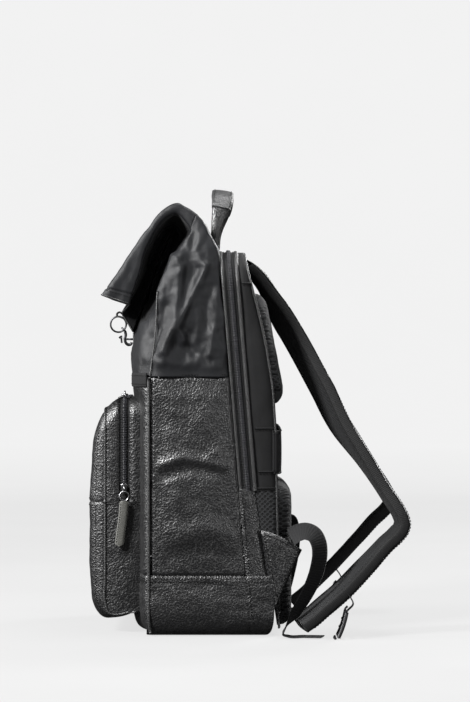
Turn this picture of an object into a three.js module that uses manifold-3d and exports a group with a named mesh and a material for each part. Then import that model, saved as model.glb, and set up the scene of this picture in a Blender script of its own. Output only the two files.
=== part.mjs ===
// A roll-top leather backpack, standing upright on its flat bottom.
// Millimetres. +Z is up, -Y is the front of the bag, +Y is the wearer's back and X runs across the bag.
// The origin is the middle of the flat bottom, on the floor.
import * as THREE from 'three';
import { mergeVertices } from 'three/addons/utils/BufferGeometryUtils.js';
import Module from 'manifold-3d';

const wasm = await Module();
wasm.setup();

// ---------------------------------------------------------------- driving dimensions
const GAP = 0.35;              // clearance between neighbouring pieces
const HALF_WIDTH = 143;        // outside of the bag's side panels
const FRONT_Y = -82.5;         // face of the front panel
const SIDE_FRONT_Y = -66;      // front edge of the flat side panels
const LEATHER = 2.4;           // leather panel thickness
const FABRIC = 2.0;            // coated collar fabric with its lining
const BOOT_HEIGHT = 61;        // top of the leather boot
const SEAM_HEIGHT = 260;       // top of the leather, where the fabric collar starts
const BACK_FOOT_Y = 36.6;      // side panels' rear edge at the floor
const BACK_LEAN = 0.083;       // how far that edge leans forward for each millimetre of height
const BACK_TOP = 386;          // top of the rear compartment
const ARCH_CORNER = 34;        // corner radius of the rear compartment's arch
const FOLD = { y: -42, z: 412 };   // crease that the roll-top turns about
const POCKET_HALF = 105;       // half width of the front pocket
const POCKET_SPLIT = 133;      // height where the pocket's zip ends and its cover starts to fold
const POCKET_FACE_Y = -127.5;  // front face of the pocket
const WEBBING = { width: 25, thick: 1.6 };
const STRAP = { width: 60, thick: 12, overlay: 2, twist: THREE.MathUtils.degToRad(13), bendAt: 0.68 };
const FAR_STRAP_LIFT = 11;     // the right strap's bend rests this much higher than the left one's
const HANDLE = { half: 56, base_y: 3.5, base_z: 401, top_y: 8, top_z: 450, width: 19, thick: 3.6 };
const RING = { y: -101.5, z: 314, radius: 8.2, wire: 1.5 };
const COIL = 3.2;              // width of the zips' coils
const TAPE = 1.6;              // thickness of the zips' tapes
const SKIN_GAP = 1.2;          // clearance between a strap's cushion and its leather facing
const TRIM = { half: 118, z0: 250, z1: 264, thick: 1.6 };
const LUGGAGE = { z0: 163, z1: 206, front_y: 42, turn_y: 62, rear_y: 71.5, thick: 1.8 };
const LOCK = { x: 160, y: 123.2, z: 1.2, half: 16, height: 28, thick: 4, lean: -18 };
const BEYOND = 200;            // reach of a cutting shape past the bag's sides

const backEdge = (z) => BACK_FOOT_Y - BACK_LEAN * z;

// ---------------------------------------------------------------- materials
const finish = (color, roughness, metalness = 0) => (
  new THREE.MeshStandardMaterial({ color, roughness, metalness })
);
const leather = () => finish(0x1b1a1b, 0.48);
const smoothLeather = () => finish(0x232323, 0.42);
const coatedFabric = () => finish(0x3a3b3f, 0.7);
const lining = () => finish(0x2b2c30, 0.85);
const mesh3d = () => finish(0x2f3034, 0.95);
const webbing = () => finish(0x17181a, 0.8);
const steel = () => finish(0x8d8f92, 0.28, 1);
const plastic = () => finish(0x141415, 0.5);

// ---------------------------------------------------------------- geometry helpers
const bag = new THREE.Group();

function addPiece(name, geometry, material) {
  const piece = new THREE.Mesh(geometry, material);
  piece.name = name;
  bag.add(piece);
  return piece;
}

function outline(points) {
  return new THREE.Shape(points.map(([u, v]) => new THREE.Vector2(u, v)));
}

function extrude(shape, depth) {
  return new THREE.ExtrudeGeometry(shape, { depth, bevelEnabled: false, curveSegments: 6 });
}

// A (y, z) outline extruded along X.
function prismX(points, x0, x1) {
  const geometry = extrude(outline(points), x1 - x0);
  geometry.applyMatrix4(new THREE.Matrix4().set(0, 0, 1, x0, 1, 0, 0, 0, 0, 1, 0, 0, 0, 0, 0, 1));
  return geometry;
}

// An (x, z) shape extruded along Y.
function prismY(shape, y0, y1) {
  const geometry = extrude(shape, y1 - y0);
  geometry.rotateX(Math.PI / 2);
  return geometry.translate(0, y1, 0);
}

// An (x, y) shape extruded along Z.
function prismZ(shape, z0, z1) {
  return extrude(shape, z1 - z0).translate(0, 0, z0);
}

function box(x0, x1, y0, y1, z0, z1) {
  const geometry = new THREE.BoxGeometry(x1 - x0, y1 - y0, z1 - z0);
  return geometry.translate((x0 + x1) / 2, (y0 + y1) / 2, (z0 + z1) / 2);
}

function solid(geometry) {
  const bare = geometry.clone();
  for (const name of Object.keys(bare.attributes)) {
    if (name !== 'position') bare.deleteAttribute(name);
  }
  const merged = mergeVertices(bare, 1e-4);
  const vertProperties = new Float32Array(merged.attributes.position.array);
  const triVerts = new Uint32Array(merged.index.array);
  return new wasm.Manifold(new wasm.Mesh({ numProp: 3, vertProperties, triVerts }));
}

function surface(manifold) {
  const { vertProperties, triVerts } = manifold.getMesh();
  const geometry = new THREE.BufferGeometry();
  geometry.setAttribute('position', new THREE.BufferAttribute(new Float32Array(vertProperties), 3));
  geometry.setIndex([...triVerts]);
  return geometry;
}

const join = (...parts) => surface(parts.map(solid).reduce((a, b) => a.add(b)));
const cut = (part, ...tools) => surface(tools.map(solid).reduce((a, b) => a.subtract(b), solid(part)));
const common = (a, b) => surface(solid(a).intersect(solid(b)));

function signedVolume(points, faces) {
  let sum = 0;
  for (let i = 0; i < faces.length; i += 3) {
    const [a, b, c] = [points[faces[i]], points[faces[i + 1]], points[faces[i + 2]]];
    sum += a.dot(new THREE.Vector3().crossVectors(b, c));
  }
  return sum;
}

function fromFaces(points, faces) {
  if (signedVolume(points, faces) < 0) faces.reverse();
  return new THREE.BufferGeometry().setFromPoints(points).setIndex(faces);
}

// Joins rings of equal length into one skin. A looped skin joins its last ring to its first;
// an open one is closed by flat caps cut from the given section.
function skin(rings, capSection = null) {
  const n = rings[0].length;
  const looped = capSection === null;
  const faces = [];
  const spans = looped ? rings.length : rings.length - 1;
  for (let r = 0; r < spans; r += 1) {
    const a = r * n;
    const b = ((r + 1) % rings.length) * n;
    for (let k = 0; k < n; k += 1) {
      const m = (k + 1) % n;
      faces.push(a + k, a + m, b + m, a + k, b + m, b + k);
    }
  }
  if (!looped) {
    const section = capSection.map(([u, v]) => new THREE.Vector2(u, v));
    const last = (rings.length - 1) * n;
    for (const [i, j, k] of THREE.ShapeUtils.triangulateShape(section, [])) {
      const forward = THREE.ShapeUtils.area(section) > 0;
      const [p, q] = forward ? [j, k] : [k, j];
      faces.push(i, q, p, last + i, last + p, last + q);
    }
  }
  return fromFaces(rings.flat(), faces);
}

// A band swept along a curve. widthAt gives the direction of its width, section its outline as
// [across, outward] pairs, and grow an optional scale of the width along the way.
function sweep(curve, steps, widthAt, section, grow = () => 1) {
  const rings = [];
  for (let i = 0; i <= steps; i += 1) {
    const t = i / steps;
    const centre = curve.getPointAt(t);
    const along = curve.getTangentAt(t);
    const across = widthAt(t, along).clone();
    across.addScaledVector(along, -across.dot(along)).normalize();
    const outward = new THREE.Vector3().crossVectors(along, across);
    rings.push(section.map(([u, v]) => centre.clone()
      .addScaledVector(across, u * grow(t))
      .addScaledVector(outward, v)));
  }
  return skin(rings, section);
}

// A flat rounded section. Its two long edges are split into parts, which keeps a twisted band smooth.
function roundedSection(halfWidth, inner, outer, corner = 3, parts = 1) {
  const shape = new THREE.Shape();
  const r = Math.min(corner, (outer - inner) / 2 - 0.05);
  shape.moveTo(-halfWidth + r, inner);
  shape.lineTo(halfWidth - r, inner);
  shape.quadraticCurveTo(halfWidth, inner, halfWidth, inner + r);
  shape.lineTo(halfWidth, outer - r);
  shape.quadraticCurveTo(halfWidth, outer, halfWidth - r, outer);
  shape.lineTo(-halfWidth + r, outer);
  shape.quadraticCurveTo(-halfWidth, outer, -halfWidth, outer - r);
  shape.lineTo(-halfWidth, inner + r);
  shape.quadraticCurveTo(-halfWidth, inner, -halfWidth + r, inner);
  const points = shape.getPoints(2).map((p) => [p.x, p.y]).slice(0, -1);
  if (parts === 1) return points;
  return points.flatMap(([u, v], i) => {
    const [nextU, nextV] = points[(i + 1) % points.length];
    if (Math.abs(nextU - u) < halfWidth) return [[u, v]];
    const step = (k) => [u + ((nextU - u) * k) / parts, v + ((nextV - v) * k) / parts];
    return Array.from({ length: parts }, (_, k) => step(k));
  });
}

function circleSection(radius, sides = 8) {
  return Array.from({ length: sides }, (_, i) => {
    const a = (i / sides) * 2 * Math.PI;
    return [radius * Math.cos(a), radius * Math.sin(a)];
  });
}

// One station of a fabric sleeve: a rounded rectangle between a front and a back line, both
// parallel to X, whose two short sides are pulled inwards by pinch.
function sleeveRing({ front, back, half, corner = 12, pinch = 0 }, inset) {
  const depth = Math.hypot(back[0] - front[0], back[1] - front[1]) - 2 * inset;
  const dir = [back[0] - front[0], back[1] - front[1]].map((d) => d / (depth + 2 * inset));
  const w = half - inset;
  const r = Math.max(Math.min(corner - inset, depth / 2 - 0.5), 0.8);
  const flat = [];
  const centres = [[w - r, r, -90], [w - r, depth - r, 0], [r - w, depth - r, 90], [r - w, r, 180]];
  centres.forEach(([u, v, from], index) => {
    for (let step = 0; step <= 3; step += 1) {
      const a = THREE.MathUtils.degToRad(from + step * 30);
      flat.push([u + r * Math.cos(a), v + r * Math.sin(a)]);
    }
    if (index === 0) flat.push([w - pinch, depth / 2]);
    if (index === 2) flat.push([pinch - w, depth / 2]);
  });
  return flat.map(([u, v]) => new THREE.Vector3(
    u,
    front[0] + dir[0] * (v + inset),
    front[1] + dir[1] * (v + inset),
  ));
}

function sleeve(stations, wall) {
  const outer = stations.map((s) => sleeveRing(s, 0));
  const inner = stations.map((s) => sleeveRing(s, wall)).reverse();
  return skin([...outer, ...inner]);
}

// The rear compartment leans with the side panels' rear edge. An arch is a band that runs up one
// side, across the top and down the other, seen along Y as a round-cornered U.
function archShape(half, top, corner, thick, foot) {
  const shape = new THREE.Shape();
  shape.moveTo(-half, foot);
  shape.lineTo(-half + thick, foot);
  shape.lineTo(-half + thick, top - corner);
  shape.quadraticCurveTo(-half + thick, top - thick, -half + corner, top - thick);
  shape.lineTo(half - corner, top - thick);
  shape.quadraticCurveTo(half - thick, top - thick, half - thick, top - corner);
  shape.lineTo(half - thick, foot);
  shape.lineTo(half, foot);
  shape.lineTo(half, top - corner);
  shape.quadraticCurveTo(half, top, half - corner, top);
  shape.lineTo(-half + corner, top);
  shape.quadraticCurveTo(-half, top, -half, top - corner);
  return shape;
}

function leanBack(geometry) {
  return geometry.applyMatrix4(new THREE.Matrix4().makeShear(0, 0, 0, 0, 0, -BACK_LEAN));
}

function curveThrough(points) {
  return new THREE.CatmullRomCurve3(points.map((p) => new THREE.Vector3(...p)), false, 'centripetal');
}

// ---------------------------------------------------------------- leather lower body
// Plan outline of the bag: flat sides, a flat front with soft corners and a straight back.
function planShape(inset, backY) {
  const w = HALF_WIDTH - inset;
  const front = FRONT_Y + inset;
  const cornerX = w - 24 + inset * 0.5;
  const shape = new THREE.Shape();
  shape.moveTo(w, backY - inset);
  shape.lineTo(-w, backY - inset);
  shape.lineTo(-w, SIDE_FRONT_Y);
  shape.quadraticCurveTo(-w + 2, front, -cornerX, front);
  shape.lineTo(cornerX, front);
  shape.quadraticCurveTo(w - 2, front, w, SIDE_FRONT_Y);
  return shape;
}

const BOOT_BACK_Y = 61;
{
  const shell = prismZ(planShape(0, BOOT_BACK_Y), 0, BOOT_HEIGHT);
  const rim = [
    [-BEYOND, 10], [-82.6, 10], [-72, 0], [54, 0],
    [BOOT_BACK_Y + 0.1, 8], [BEYOND, 8], [BEYOND, 80], [-BEYOND, 80],
  ];
  const hollow = prismZ(planShape(LEATHER, BOOT_BACK_Y), 3.2, BOOT_HEIGHT + 1);
  const innerRim = [
    [-BEYOND, 13], [-80, 13], [-71, 3.2], [53, 3.2], [58, 11], [BEYOND, 11], [BEYOND, 80], [-BEYOND, 80],
  ];
  const body = common(shell, prismX(rim, -BEYOND, BEYOND));
  addPiece('base_boot', cut(body, common(hollow, prismX(innerRim, -BEYOND, BEYOND))), leather());
}

function frontPanelShape() {
  const w = HALF_WIDTH;
  const cornerX = w - 24;
  const shape = new THREE.Shape();
  const y = FRONT_Y;
  const t = LEATHER;
  shape.moveTo(w, SIDE_FRONT_Y);
  shape.lineTo(w - t, SIDE_FRONT_Y);
  shape.quadraticCurveTo(w - t - 1.5, y + t, cornerX, y + t);
  shape.lineTo(-cornerX, y + t);
  shape.quadraticCurveTo(-w + t + 1.5, y + t, -w + t, SIDE_FRONT_Y);
  shape.lineTo(-w, SIDE_FRONT_Y);
  shape.quadraticCurveTo(-w + 2, y, -cornerX, y);
  shape.lineTo(cornerX, y);
  shape.quadraticCurveTo(w - 2, y, w, SIDE_FRONT_Y);
  return shape;
}

const PANEL_FOOT = BOOT_HEIGHT + GAP;
addPiece('front_panel', prismZ(frontPanelShape(), PANEL_FOOT, SEAM_HEIGHT), leather());

const sides = [
  { side: 'left', s: 1 },
  { side: 'right', s: -1 },
];
const span = (s, a, b) => (s > 0 ? [a, b] : [-b, -a]);

for (const { side, s } of sides) {
  const panel = [
    [SIDE_FRONT_Y + GAP, PANEL_FOOT],
    [backEdge(BOOT_HEIGHT) - GAP, PANEL_FOOT],
    [backEdge(SEAM_HEIGHT) - GAP, SEAM_HEIGHT],
    [SIDE_FRONT_Y + GAP, SEAM_HEIGHT],
  ];
  addPiece(`side_panel_${side}`, prismX(panel, ...span(s, HALF_WIDTH - LEATHER, HALF_WIDTH)), leather());
  const piping = curveThrough([
    [s * (HALF_WIDTH + 1.6), SIDE_FRONT_Y, 12],
    [s * (HALF_WIDTH + 1.6), SIDE_FRONT_Y, 120],
    [s * (HALF_WIDTH + 1.6), SIDE_FRONT_Y, 232],
  ]);
  const pipingAcross = () => new THREE.Vector3(1, 0, 0);
  addPiece(`front_piping_${side}`, sweep(piping, 2, pipingAcross, circleSection(1.25)), smoothLeather());
}

// Padded wall between the main compartment and the laptop compartment.
const DIVIDER = 5;
const DIVIDER_HALF = 130;
{
  const wall = [[0, 5], [DIVIDER, 5], [DIVIDER, BACK_TOP - 26], [0, BACK_TOP - 26]];
  const slab = prismX(wall.map(([y, z]) => [y + backEdge(0) - DIVIDER - 7, z]), -DIVIDER_HALF, DIVIDER_HALF);
  addPiece('compartment_divider', leanBack(slab), lining());
}

// ---------------------------------------------------------------- fabric collar and roll-top
const COLLAR_FOOT = SEAM_HEIGHT + GAP;
const collarStations = [
  {
    front: [FRONT_Y - 0.5, COLLAR_FOOT],
    back: [backEdge(COLLAR_FOOT) - GAP, COLLAR_FOOT],
    half: 142,
    corner: 20,
  },
  { front: [-84, 294], back: [10.5, 302], half: 141, corner: 18 },
  { front: [-73, 313], back: [8, 335], half: 139, corner: 16 },
  { front: [-56, 356], back: [4.2, 376], half: 135, corner: 14 },
  { front: [-43, 390], back: [-3, 400], half: 131, corner: 12 },
  { front: [-38.5, 405], back: [-12, 417], half: 128, corner: 10 },
  { front: [-38, 412.5], back: [-29.5, 431], half: 126, corner: 9 },
];
addPiece('collar', sleeve(collarStations, FABRIC), coatedFabric());

// The soft bend over the top. It is open underneath, along the crease.
const RIDGE_HALF = 125;
{
  const outer = [[-30, 431.9], [-36.5, 434.5], [-45, 431.5], [-54.8, 425], [-66.6, 408.6], [-74, 400]];
  const inner = outer.map(([y, z]) => {
    const reach = Math.hypot(y - FOLD.y, z - FOLD.z);
    return [y + ((FOLD.y - y) / reach) * FABRIC, z + ((FOLD.z - z) / reach) * FABRIC];
  });
  addPiece('ridge_fold', prismX([...outer, ...inner.reverse()], -RIDGE_HALF, RIDGE_HALF), coatedFabric());
}

const flapStations = [
  { front: [-75.3, 399.2], back: [-46.5, 407.5], half: 126, corner: 8, pinch: 12 },
  { front: [-96.1, 366.4], back: [-60, 366], half: 128, corner: 8, pinch: 14 },
  { front: [-113.2, 342.8], back: [-80.5, 304], half: 130, corner: 8, pinch: 12 },
];
addPiece('flap', sleeve(flapStations, FABRIC), coatedFabric());

// Woven trim across the front, over the seam between leather and fabric.
{
  const shape = new THREE.Shape();
  const y = FRONT_Y - 0.5 - GAP;
  shape.moveTo(-TRIM.half, y);
  shape.lineTo(TRIM.half, y);
  shape.lineTo(TRIM.half, y - TRIM.thick);
  shape.lineTo(-TRIM.half, y - TRIM.thick);
  addPiece('front_trim_band', prismZ(shape, TRIM.z0, TRIM.z1), webbing());
}

// ---------------------------------------------------------------- ring and hook closure
const TAB_HALF = 7;
addPiece('ring_tab', prismX([
  [-84, 310.8], [-85.2, 309.8], [-97.2, 324.3], [-101.8, 323.6], [-102.6, 325.6], [-97.6, 326.6],
], -TAB_HALF, TAB_HALF), smoothLeather());
{
  const ring = new THREE.TorusGeometry(RING.radius, RING.wire / 2, 8, 32);
  ring.rotateY(Math.PI / 2);
  ring.translate(0, RING.y, RING.z);
  addPiece('wire_ring', ring, steel());
}
{
  // The hook's eye goes round the ring's wire, at the lower rear of the ring.
  const lean = Math.PI / 4;
  const eyeY = RING.y + RING.radius * Math.sin(lean);
  const eyeZ = RING.z - RING.radius * Math.cos(lean);
  const eye = new THREE.TorusGeometry(2.6, 0.8, 8, 20);
  eye.rotateX(-lean);
  eye.translate(0, eyeY, eyeZ);
  const knob = new THREE.SphereGeometry(1.3, 10, 8);
  knob.translate(0, eyeY - 2.5, eyeZ + 2.5);
  const hookPath = curveThrough([
    [0, eyeY + 1.9, eyeZ - 1.9], [0, -94.1, 302.5], [0, -94.8, 298], [0, -93.8, 294.6], [0, -91, 293.2],
    [0, -88.5, 293.8],
  ]);
  const shank = sweep(hookPath, 16, () => new THREE.Vector3(1, 0, 0), circleSection(1.2));
  addPiece('snap_hook', join(shank, eye, knob), steel());
  const thumb = prismX([[-101.6, 301.2], [-98.6, 301.8], [-98.4, 299.6], [-101.6, 298.8]], -1.6, 1.6);
  const blade = prismX([[-99.2, 303.2], [-97.9, 303.2], [-97.6, 294.4], [-98.9, 294.4]], -1.1, 1.1);
  addPiece('hook_gate', join(blade, thumb), steel());
}
{
  const plate = prismX([[-84.6, 304], [-84.4, 284], [-86, 284], [-86.2, 304]], -9, 9);
  const lug = [[-86.2, 300.5], [-86, 296], [-90.6, 297.2], [-91.2, 298.6], [-90.6, 299.6]];
  const bar = new THREE.CylinderGeometry(1, 1, 14, 12);
  bar.rotateZ(Math.PI / 2);
  bar.translate(0, -90.2, 298.4);
  const lugs = [prismX(lug, -7.6, -5.8), prismX(lug, 5.8, 7.6)];
  addPiece('hook_anchor', join(plate, ...lugs, bar), steel());
}

// ---------------------------------------------------------------- rear compartment
const TAPE_DEPTH = 19;
const ARCH_FOOT = 146;
const ARCH_HALF = 141;
const COIL_OUT = TAPE + GAP;   // how far a coil stands off its tape
{
  const tape = archShape(ARCH_HALF, BACK_TOP, ARCH_CORNER, TAPE, ARCH_FOOT);
  addPiece('rear_zip_tape', leanBack(prismY(tape, BACK_FOOT_Y + GAP, BACK_FOOT_Y + TAPE_DEPTH)), webbing());
  const coil = archShape(ARCH_HALF + COIL_OUT, BACK_TOP + COIL_OUT, ARCH_CORNER + 1, TAPE, ARCH_FOOT);
  const middle = BACK_FOOT_Y + TAPE_DEPTH / 2;
  addPiece('rear_zip_coil', leanBack(prismY(coil, middle - COIL / 2, middle + COIL / 2)), plastic());
}

// Side view of the back edge, from the boot up to the arch's top.
const backCurve = [
  [62, BOOT_HEIGHT + GAP], [60.5, 110], [59.5, 160], [58.5, 208], [56, 247],
  [49, 291], [43, 319], [35.5, 348], [31, 366], [28.2, 379],
];
{
  const rear = BACK_FOOT_Y + TAPE_DEPTH + GAP;
  const tall = archShape(ARCH_HALF, BACK_TOP - 2, ARCH_CORNER, LEATHER, PANEL_FOOT);
  const low = archShape(ARCH_HALF, 300, 10, LEATHER, PANEL_FOOT);
  const blank = leanBack(prismY(tall, rear, rear + 60));
  const keep = [...backCurve, [27.5, 390], [-60, 390], [-60, PANEL_FOOT]];
  const lower = leanBack(prismY(low, BACK_FOOT_Y + GAP, rear + 1));
  const foot = [[0, PANEL_FOOT], [80, PANEL_FOOT], [80, ARCH_FOOT - GAP], [0, ARCH_FOOT - GAP]];
  const below = prismX(foot, -BEYOND, BEYOND);
  const above = prismX(keep, -BEYOND, BEYOND);
  addPiece('rear_gusset', join(common(blank, above), common(lower, below)), smoothLeather());
}

// A skin that follows the back edge at a given distance behind it.
function backSkin(points, near, far, half) {
  const inner = points.map(([y, z]) => [y + near, z]);
  const outer = points.map(([y, z]) => [y + far, z]).reverse();
  return prismX([...outer, ...inner], -half, half);
}
addPiece('back_stiffener', backSkin(backCurve.slice(0, -1), -4.6, -3, 128), plastic());
addPiece('back_panel', backSkin(backCurve, GAP, 3, 138.5), mesh3d());

// Stiff board in the bottom and a padded sleeve wall inside the rear compartment.
addPiece('base_board', box(-128, 128, -66, 20, 3.7, 5.9), plastic());
{
  const wall = [[0, 64], [4, 64], [4, 320], [0, 320]];
  const slab = prismX(wall.map(([y, z]) => [y + BACK_FOOT_Y + 1.2, z]), -126, 126);
  addPiece('laptop_sleeve', leanBack(slab), lining());
}

// A back pad: a soft slab between two heights, thinner towards its edges.
function backPad(z0, z1, half, faceY, rootY) {
  const rows = [0, 0.1, 0.3, 0.5, 0.7, 0.9, 1];
  const lift = [0.25, 0.8, 1, 1, 1, 0.8, 0.25];
  const rings = rows.map((t, i) => {
    const z = z0 + (z1 - z0) * t;
    const root = rootY(z);
    const thick = (faceY(z) - root) * lift[i];
    const reach = half - (1 - lift[i]) * 12;
    return [
      [-reach, 0], [reach, 0], [reach, thick * 0.6],
      [reach - 8, thick], [8 - reach, thick], [-reach, thick * 0.6],
    ].map(([x, y]) => new THREE.Vector3(x, root + y, z));
  });
  return skin(rings, [[-9, 0], [9, 0], [9, 6], [8, 10], [-8, 10], [-9, 6]]);
}

function along(points, z) {
  for (let i = 1; i < points.length; i += 1) {
    const [y0, z0] = points[i - 1];
    const [y1, z1] = points[i];
    if (z <= z1) return y0 + ((y1 - y0) * (z - z0)) / (z1 - z0);
  }
  return points[points.length - 1][0];
}
const padRoot = (z) => along(backCurve, z) + 3 + GAP + 0.4;
const PAD_HALF = 126;
const upperFace = (z) => 68.2 - Math.max(0, z - 250) * 0.19;
addPiece('upper_back_pad', backPad(234, 343, PAD_HALF, upperFace, padRoot), mesh3d());
addPiece('lower_back_pad', backPad(9, 150, PAD_HALF, () => 78, () => BOOT_BACK_Y + 4.8), mesh3d());

// A wide band across the back that slips over a suitcase handle.
{
  const shape = new THREE.Shape();
  const half = HALF_WIDTH + 1.2;
  const inside = half - LUGGAGE.thick;
  const { front_y: start, turn_y: turn, rear_y: rear } = LUGGAGE;
  shape.moveTo(half, start);
  shape.lineTo(half, turn);
  shape.quadraticCurveTo(half, rear - 0.5, half - 12, rear);
  shape.lineTo(12 - half, rear);
  shape.quadraticCurveTo(-half, rear - 0.5, -half, turn);
  shape.lineTo(-half, start);
  shape.lineTo(-inside, start);
  shape.lineTo(-inside, turn);
  shape.quadraticCurveTo(-inside, rear - 2.5, 12 - half, rear - LUGGAGE.thick);
  shape.lineTo(half - 12, rear - LUGGAGE.thick);
  shape.quadraticCurveTo(inside, rear - 2.5, inside, turn);
  shape.lineTo(inside, start);
  addPiece('luggage_strap', prismZ(shape, LUGGAGE.z0, LUGGAGE.z1), webbing());
}

// Slider and pull of the rear zip, at the right side's lower end.
{
  const z = 166;
  const y = backEdge(z) + TAPE_DEPTH / 2;
  const x0 = -(ARCH_HALF + COIL_OUT) - GAP - 3.4;
  addPiece('rear_zip_slider', box(x0, x0 + 3, y - 4, y + 4, z - 6, z + 6), steel());
  addPiece('rear_zip_pull', box(x0 - 2.2, x0 - 0.5, y - 3.2, y + 3.2, z - 30, z + 3), smoothLeather());
}

// ---------------------------------------------------------------- front pocket
const POCKET_BACK_Y = FRONT_Y - GAP;
const TRACK = { y0: -96.2, y1: -86, top: 238 };
const pocketLower = [
  [POCKET_BACK_Y, 19], [-101, 15.5], [-112.5, 14.5],
  [-121.5, 25], [-126.4, 38], [POCKET_FACE_Y, 75],
  [POCKET_FACE_Y, POCKET_SPLIT - GAP], [POCKET_BACK_Y, POCKET_SPLIT - GAP],
];
const pocketLowerInside = [
  [POCKET_BACK_Y - TAPE, 21.5], [-101, 18], [-111.5, 17.2],
  [-119.5, 27], [-124, 39], [POCKET_FACE_Y + LEATHER, 75],
  [POCKET_FACE_Y + LEATHER, 150], [POCKET_BACK_Y - TAPE, 150],
];
{
  const tub = cut(
    prismX(pocketLower, -POCKET_HALF, POCKET_HALF),
    prismX(pocketLowerInside, LEATHER - POCKET_HALF, POCKET_HALF - LEATHER),
  );
  const backWall = box(-POCKET_HALF, POCKET_HALF, POCKET_BACK_Y - TAPE, POCKET_BACK_Y, POCKET_SPLIT - 1, 239);
  addPiece('pocket_base', join(tub, backWall), leather());
}
{
  const track = archShape(POCKET_HALF, TRACK.top, 16, TAPE, POCKET_SPLIT + GAP);
  addPiece('pocket_zip_tape', prismY(track, TRACK.y0, POCKET_BACK_Y - TAPE - GAP), webbing());
  const coil = archShape(POCKET_HALF + COIL_OUT, TRACK.top + COIL_OUT, 17, TAPE, POCKET_SPLIT + 8);
  const middle = (TRACK.y0 + TRACK.y1) / 2;
  addPiece('pocket_zip_coil', prismY(coil, middle - COIL / 2, middle + COIL / 2), steel());
}
const coverFoot = POCKET_SPLIT + GAP;
const coverOutline = [
  [TRACK.y0 - GAP, coverFoot], [POCKET_FACE_Y + 0.4, coverFoot], [-126.2, 154], [-123.4, 192],
  [-118, 214], [-112, 225], [-104, 232.6], [TRACK.y0 - GAP, 237],
];
const coverInside = [
  [-60, coverFoot - 1], [POCKET_FACE_Y + 3, coverFoot - 1], [-123.6, 154], [-120.8, 191], [-116, 212],
  [-110.5, 222], [-103, 230], [TRACK.y0, 234.4], [-60, 234.4],
];
addPiece('pocket_cover', cut(
  prismX(coverOutline, -POCKET_HALF, POCKET_HALF),
  prismX(coverInside, LEATHER - POCKET_HALF, POCKET_HALF - LEATHER),
), leather());

const SLIDER_X = POCKET_HALF + COIL_OUT + 0.4;
const trackY = (TRACK.y0 + TRACK.y1) / 2;
addPiece('pocket_side_slider', box(SLIDER_X, SLIDER_X + 3.2, trackY - 4.5, trackY + 4.5, 141, 151), steel());
{
  const ring = new THREE.TorusGeometry(4.6, 0.8, 8, 20);
  ring.rotateX(Math.PI / 2);
  ring.rotateZ(Math.PI / 2);
  ring.translate(SLIDER_X + 4.8, trackY, 139);
  addPiece('pocket_pull_ring', ring, steel());
}
addPiece('pocket_pull_strip', prismX([
  [trackY - 4.4, 133.2], [trackY + 4.6, 133.2], [trackY - 1, 88], [trackY - 9.6, 88],
], SLIDER_X + 3.7, SLIDER_X + 5.9), smoothLeather());
const topSliderZ = TRACK.top + 2.7;
addPiece('pocket_top_slider', box(86, 96, trackY - 4.5, trackY + 4.5, topSliderZ, topSliderZ + 3.2), steel());
addPiece('pocket_badge', box(-14, 14, POCKET_FACE_Y - 1.8, POCKET_FACE_Y - GAP, 78, 98), smoothLeather());

// ---------------------------------------------------------------- carry handle
const handleCurve = curveThrough([
  [-HANDLE.half, HANDLE.base_y, HANDLE.base_z + 1],
  [-HANDLE.half + 2, HANDLE.base_y + 2.5, HANDLE.base_z + 18],
  [-HANDLE.half + 12, HANDLE.base_y + 6, HANDLE.top_z - 10],
  [-HANDLE.half + 30, HANDLE.top_y, HANDLE.top_z - 2],
  [0, HANDLE.top_y, HANDLE.top_z],
  [HANDLE.half - 30, HANDLE.top_y, HANDLE.top_z - 2],
  [HANDLE.half - 12, HANDLE.base_y + 6, HANDLE.top_z - 10],
  [HANDLE.half - 2, HANDLE.base_y + 2.5, HANDLE.base_z + 18],
  [HANDLE.half, HANDLE.base_y, HANDLE.base_z + 1],
]);
const handleAcross = () => new THREE.Vector3(0, 1, -0.14);
const handleBand = roundedSection(HANDLE.width / 2, -HANDLE.thick / 2, HANDLE.thick / 2, 1.4);
const handleTaper = (t) => 0.5 + 0.5 * Math.min(1, 2.2 * Math.sin(Math.PI * t));
addPiece('carry_handle', sweep(handleCurve, 32, handleAcross, handleBand, handleTaper), leather());
{
  const points = [];
  for (let i = 0; i <= 8; i += 1) points.push(handleCurve.getPointAt(0.27 + (0.46 * i) / 8).toArray());
  const wrapOuter = roundedSection(HANDLE.width / 2 + 2, -HANDLE.thick / 2 - 2, HANDLE.thick / 2 + 2, 2.5);
  const clear = 2 * GAP;
  const innerHalf = HANDLE.thick / 2 + clear;
  const wrapInner = roundedSection(HANDLE.width / 2 + clear, -innerHalf, innerHalf, 1.8);
  const long = [];
  for (let i = 0; i <= 8; i += 1) long.push(handleCurve.getPointAt(0.25 + (0.5 * i) / 8).toArray());
  const outerWrap = sweep(curveThrough(points), 14, handleAcross, wrapOuter);
  const innerWrap = sweep(curveThrough(long), 14, handleAcross, wrapInner);
  addPiece('handle_grip', cut(outerWrap, innerWrap), smoothLeather());
}
addPiece('handle_patch', prismX([
  [1.2, 388.6], [7.5, 388.6], [8.1, 395.4], [-0.8, 395.4],
], -HANDLE.half - 12, HANDLE.half + 12), leather());

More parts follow.
